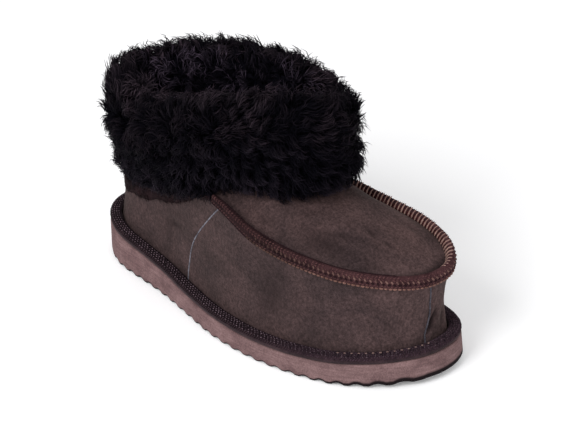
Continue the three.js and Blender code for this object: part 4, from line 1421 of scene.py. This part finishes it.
strand_sources = []
for i, shape in enumerate(STRANDS):
    strand_points, strand_faces, strand_along = strand(**shape)
    source = add_piece(f"strand_{i}", strand_points, strand_faces, wool)
    add_values(source, "along", strand_along)
    strand_sources.append(source)
FLEECE_NODES = fleece_tree(strand_sources)


def grow(name, points, values, density, seed, coat, closed=True):
    """A piece of fleece on a grid of points in millimetres, with the values that its nodes read there."""
    piece = add_piece(name, points, grid_faces(*points.shape[:2], closed_rows=closed), coat)
    for label, value in values.items():
        add_values(piece, label, value)
    return run_nodes(piece, FLEECE_NODES, {
        "Density": density, "Lock": LOCK_SIZE * MM, "Swirl": SWIRL_SIZE * MM, "Seed": seed, "Wool": coat})


def fleece_values():
    """The way the wool stands and is combed over the cuff, its reach, where it grows, and its painted light.
    """
    fall, reach, shine = (np.interp(cuff_place, FLEECE["place"], FLEECE[column])
                          for column in ("fall", "reach", "shine"))
    along = unit(np.roll(cuff_face, -1, 0) - np.roll(cuff_face, 1, 0))
    ahead = (share_of(cuff_turn) - COMB_MIDDLE) * COMB_ALONG * -side_of(cuff_turn)
    at_back = ramp(HEM_BACK["share"] - share_of(cuff_turn), HEM_BACK["rise"])
    near_hem = ramp(NEAR_HEM["place"] - cuff_place, NEAR_HEM["rise"])[None, :] * at_back[:, None]
    fall = fall[None, :] * (1 - NEAR_HEM["calm"] * near_hem)
    cover = 1.0 - cuff_bare
    whole = np.ones_like(cover)
    return {
        "lay": grid_normals(cuff_face) + np.array([0, 0, FLEECE_UP]),
        "comb": along * ahead[:, None, None] + np.array([0, 0, 1]) * fall[..., None],
        "cover": cover,
        "reach": reach * whole * (1 - NEAR_HEM["shorter"] * near_hem),
        "shine": shine * whole,
    }


def even_values(lay, comb, reach):
    """The values of a wool that is the same all over a face."""
    whole = np.ones(lay.shape[:2])
    return {"lay": lay, "comb": comb, "cover": whole, "reach": whole * reach, "shine": whole}


cuff_values = fleece_values()
for band in FLEECE_BANDS:
    first = round(band["start"] * (CUFF_STEPS - 1))
    last = round(band["end"] * (CUFF_STEPS - 1)) + 1
    values = {label: value[:, first:last] for label, value in cuff_values.items()}
    coat = rim_highlight_wool if band["rim"] else wool
    fleece = grow(band["name"], cuff_face[:, first:last], values, band["density"], band["seed"], coat)
    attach(fleece, "root")

down = np.array([0, 0, -1.0])
nap_values = even_values(hide_normal * NAP["off"] + down, down - hide_normal, NAP["reach"])
nap_wool = wool_material("hide_nap", HIDE_DARK, HIDE_LIGHT, NAP_TIP)
hide_nap = grow("hide_nap", hide_outer, nap_values, NAP["density"], NAP["seed"], nap_wool, closed=False)
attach(hide_nap, "root")

# Wool inside: the short pile of the footbed and of the lining, the wool side of the same sheepskin. It is
# grown by the same nodes as the fleece of the cuff, thinner and shorter.
PILE_ROOT = (10, 8, 9)
PILE_MIDDLE = (26, 21, 23)
PILE_TIP = (58, 47, 46)
PILE_REACH = 0.4
PILE_DENSITY = 36000
LINING_LEVELS = np.linspace(0.25, 2.3, 16)
LINING_TURNS = 140
LINING_OFF = 0.2
BED_SKIP = 3
BED_ACROSS = np.linspace(0.04, 0.96, 20)

pile = wool_material("pile", PILE_ROOT, PILE_MIDDLE, PILE_TIP)
lining_turn = turns(LINING_TURNS)[:, None] + TURN_NUDGE
lining_in = -upper_normal(lining_turn, LINING_LEVELS)
lining_face = upper_point(lining_turn, LINING_LEVELS) + lining_in * (WALL + LINING_OFF)
bed_turn = half_turns(LINING_TURNS, BED_SKIP)
bed_rim = np.full_like(bed_turn, INSOLE_INSET + INSOLE_BEVEL)
bed_outer, bed_inner = (sole_inset(side, bed_rim)[:, None] for side in (bed_turn, -bed_turn))
bed_plan = bed_outer + (bed_inner - bed_outer) * BED_ACROSS[None, :, None]
bed_face = raised(bed_plan, sole_top(bed_plan[..., 0] - HEEL_BACK) + INSOLE_HEIGHT)
bed_up = np.broadcast_to((0.0, 0.0, 1.0), bed_face.shape)
for name, face, lay, closed, slot, seed in (
    ("lining_pile", lining_face, lining_in, True, "suede", 21),
    ("insole_pile", bed_face, bed_up, False, "footbed", 22),
):
    values = even_values(lay, np.roll(lay, 1, -1), PILE_REACH)
    tufts = grow(name, face, values, PILE_DENSITY, seed, pile, closed)
    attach(tufts, "root")
for source in strand_sources:
    bpy.data.objects.remove(source)

# Studio: a plain pale floor, soft light from all round with a large soft key from the camera's left,
# and a camera at the photograph's place that looks at the middle of the slipper.
FLOOR_HALF = 3000
FLOOR_COLOUR = (251, 251, 252)
FLOOR_ROUGHNESS = 0.9
FLOOR_GLOW = 0.16
SKY_COLOUR = (1, 1, 1, 1)
SKY_STRENGTH = 0.68
LIGHTS = (
    {"name": "key", "place": (0.1, -1.4, 1.3), "power": 22},
    {"name": "fill", "place": (1.5, -0.3, 1.0), "power": 4},
)
LIGHT_AIM = (0, 0, 0.08)
LIGHT_SIZE = 0.9
CAMERA_AT = (836.8, -788.6, 746)
CAMERA_AZIMUTH = 43
CAMERA_ELEVATION = 30
FOCAL_PIXELS = 2000
FRAME_WIDTH = 562
FRAME_MIDDLE = (281, 211)
AIM_PIXEL = (185, 222)
SENSOR = 36

scene = bpy.context.scene
floor_material = bpy.data.materials.new("pale_floor")
floor_material.use_nodes = True
feed(floor_material.node_tree, floor_material.node_tree.nodes["Principled BSDF"], {
    "Base Color": paint(FLOOR_COLOUR), "Roughness": FLOOR_ROUGHNESS,
    "Emission Color": paint(FLOOR_COLOUR), "Emission Strength": FLOOR_GLOW})
floor_corners = [(x * FLOOR_HALF, y * FLOOR_HALF, 0) for x, y in ((-1, -1), (1, -1), (1, 1), (-1, 1))]
floor = add_piece("floor", floor_corners, [(0, 1, 2, 3)], floor_material)

world = bpy.data.worlds.new("studio")
world.use_nodes = True
feed(world.node_tree, world.node_tree.nodes["Background"], {"Color": SKY_COLOUR, "Strength": SKY_STRENGTH})
scene.world = world
scene.view_settings.view_transform = "Standard"

for light in LIGHTS:
    lamp = bpy.data.lights.new(light["name"], "AREA")
    lamp.size = LIGHT_SIZE
    lamp.energy = light["power"]
    holder = bpy.data.objects.new(light["name"], lamp)
    holder.location = light["place"]
    holder.rotation_euler = (Vector(LIGHT_AIM) - holder.location).to_track_quat("-Z", "Y").to_euler()
    scene.collection.objects.link(holder)

azimuth = math.radians(CAMERA_AZIMUTH)
elevation = math.radians(CAMERA_ELEVATION)
right = Vector((math.cos(azimuth), math.sin(azimuth), 0))
ahead = Vector((
    -math.sin(azimuth) * math.cos(elevation), math.cos(azimuth) * math.cos(elevation), -math.sin(elevation)))
up = right.cross(ahead)
aim = ahead + right * (AIM_PIXEL[0] - FRAME_MIDDLE[0]) / FOCAL_PIXELS
aim = (aim - up * (AIM_PIXEL[1] - FRAME_MIDDLE[1]) / FOCAL_PIXELS).normalized()
camera_right = aim.cross(up).normalized()
camera_up = camera_right.cross(aim)
camera_turn = Matrix((camera_right, camera_up, -aim)).transposed().to_4x4()
camera_data = bpy.data.cameras.new("camera")
camera_data.sensor_width = SENSOR
camera_data.lens = FOCAL_PIXELS / FRAME_WIDTH * SENSOR
camera = bpy.data.objects.new("camera", camera_data)
camera.matrix_world = Matrix.Translation(Vector(CAMERA_AT) * MM) @ camera_turn
scene.collection.objects.link(camera)
scene.camera = camera
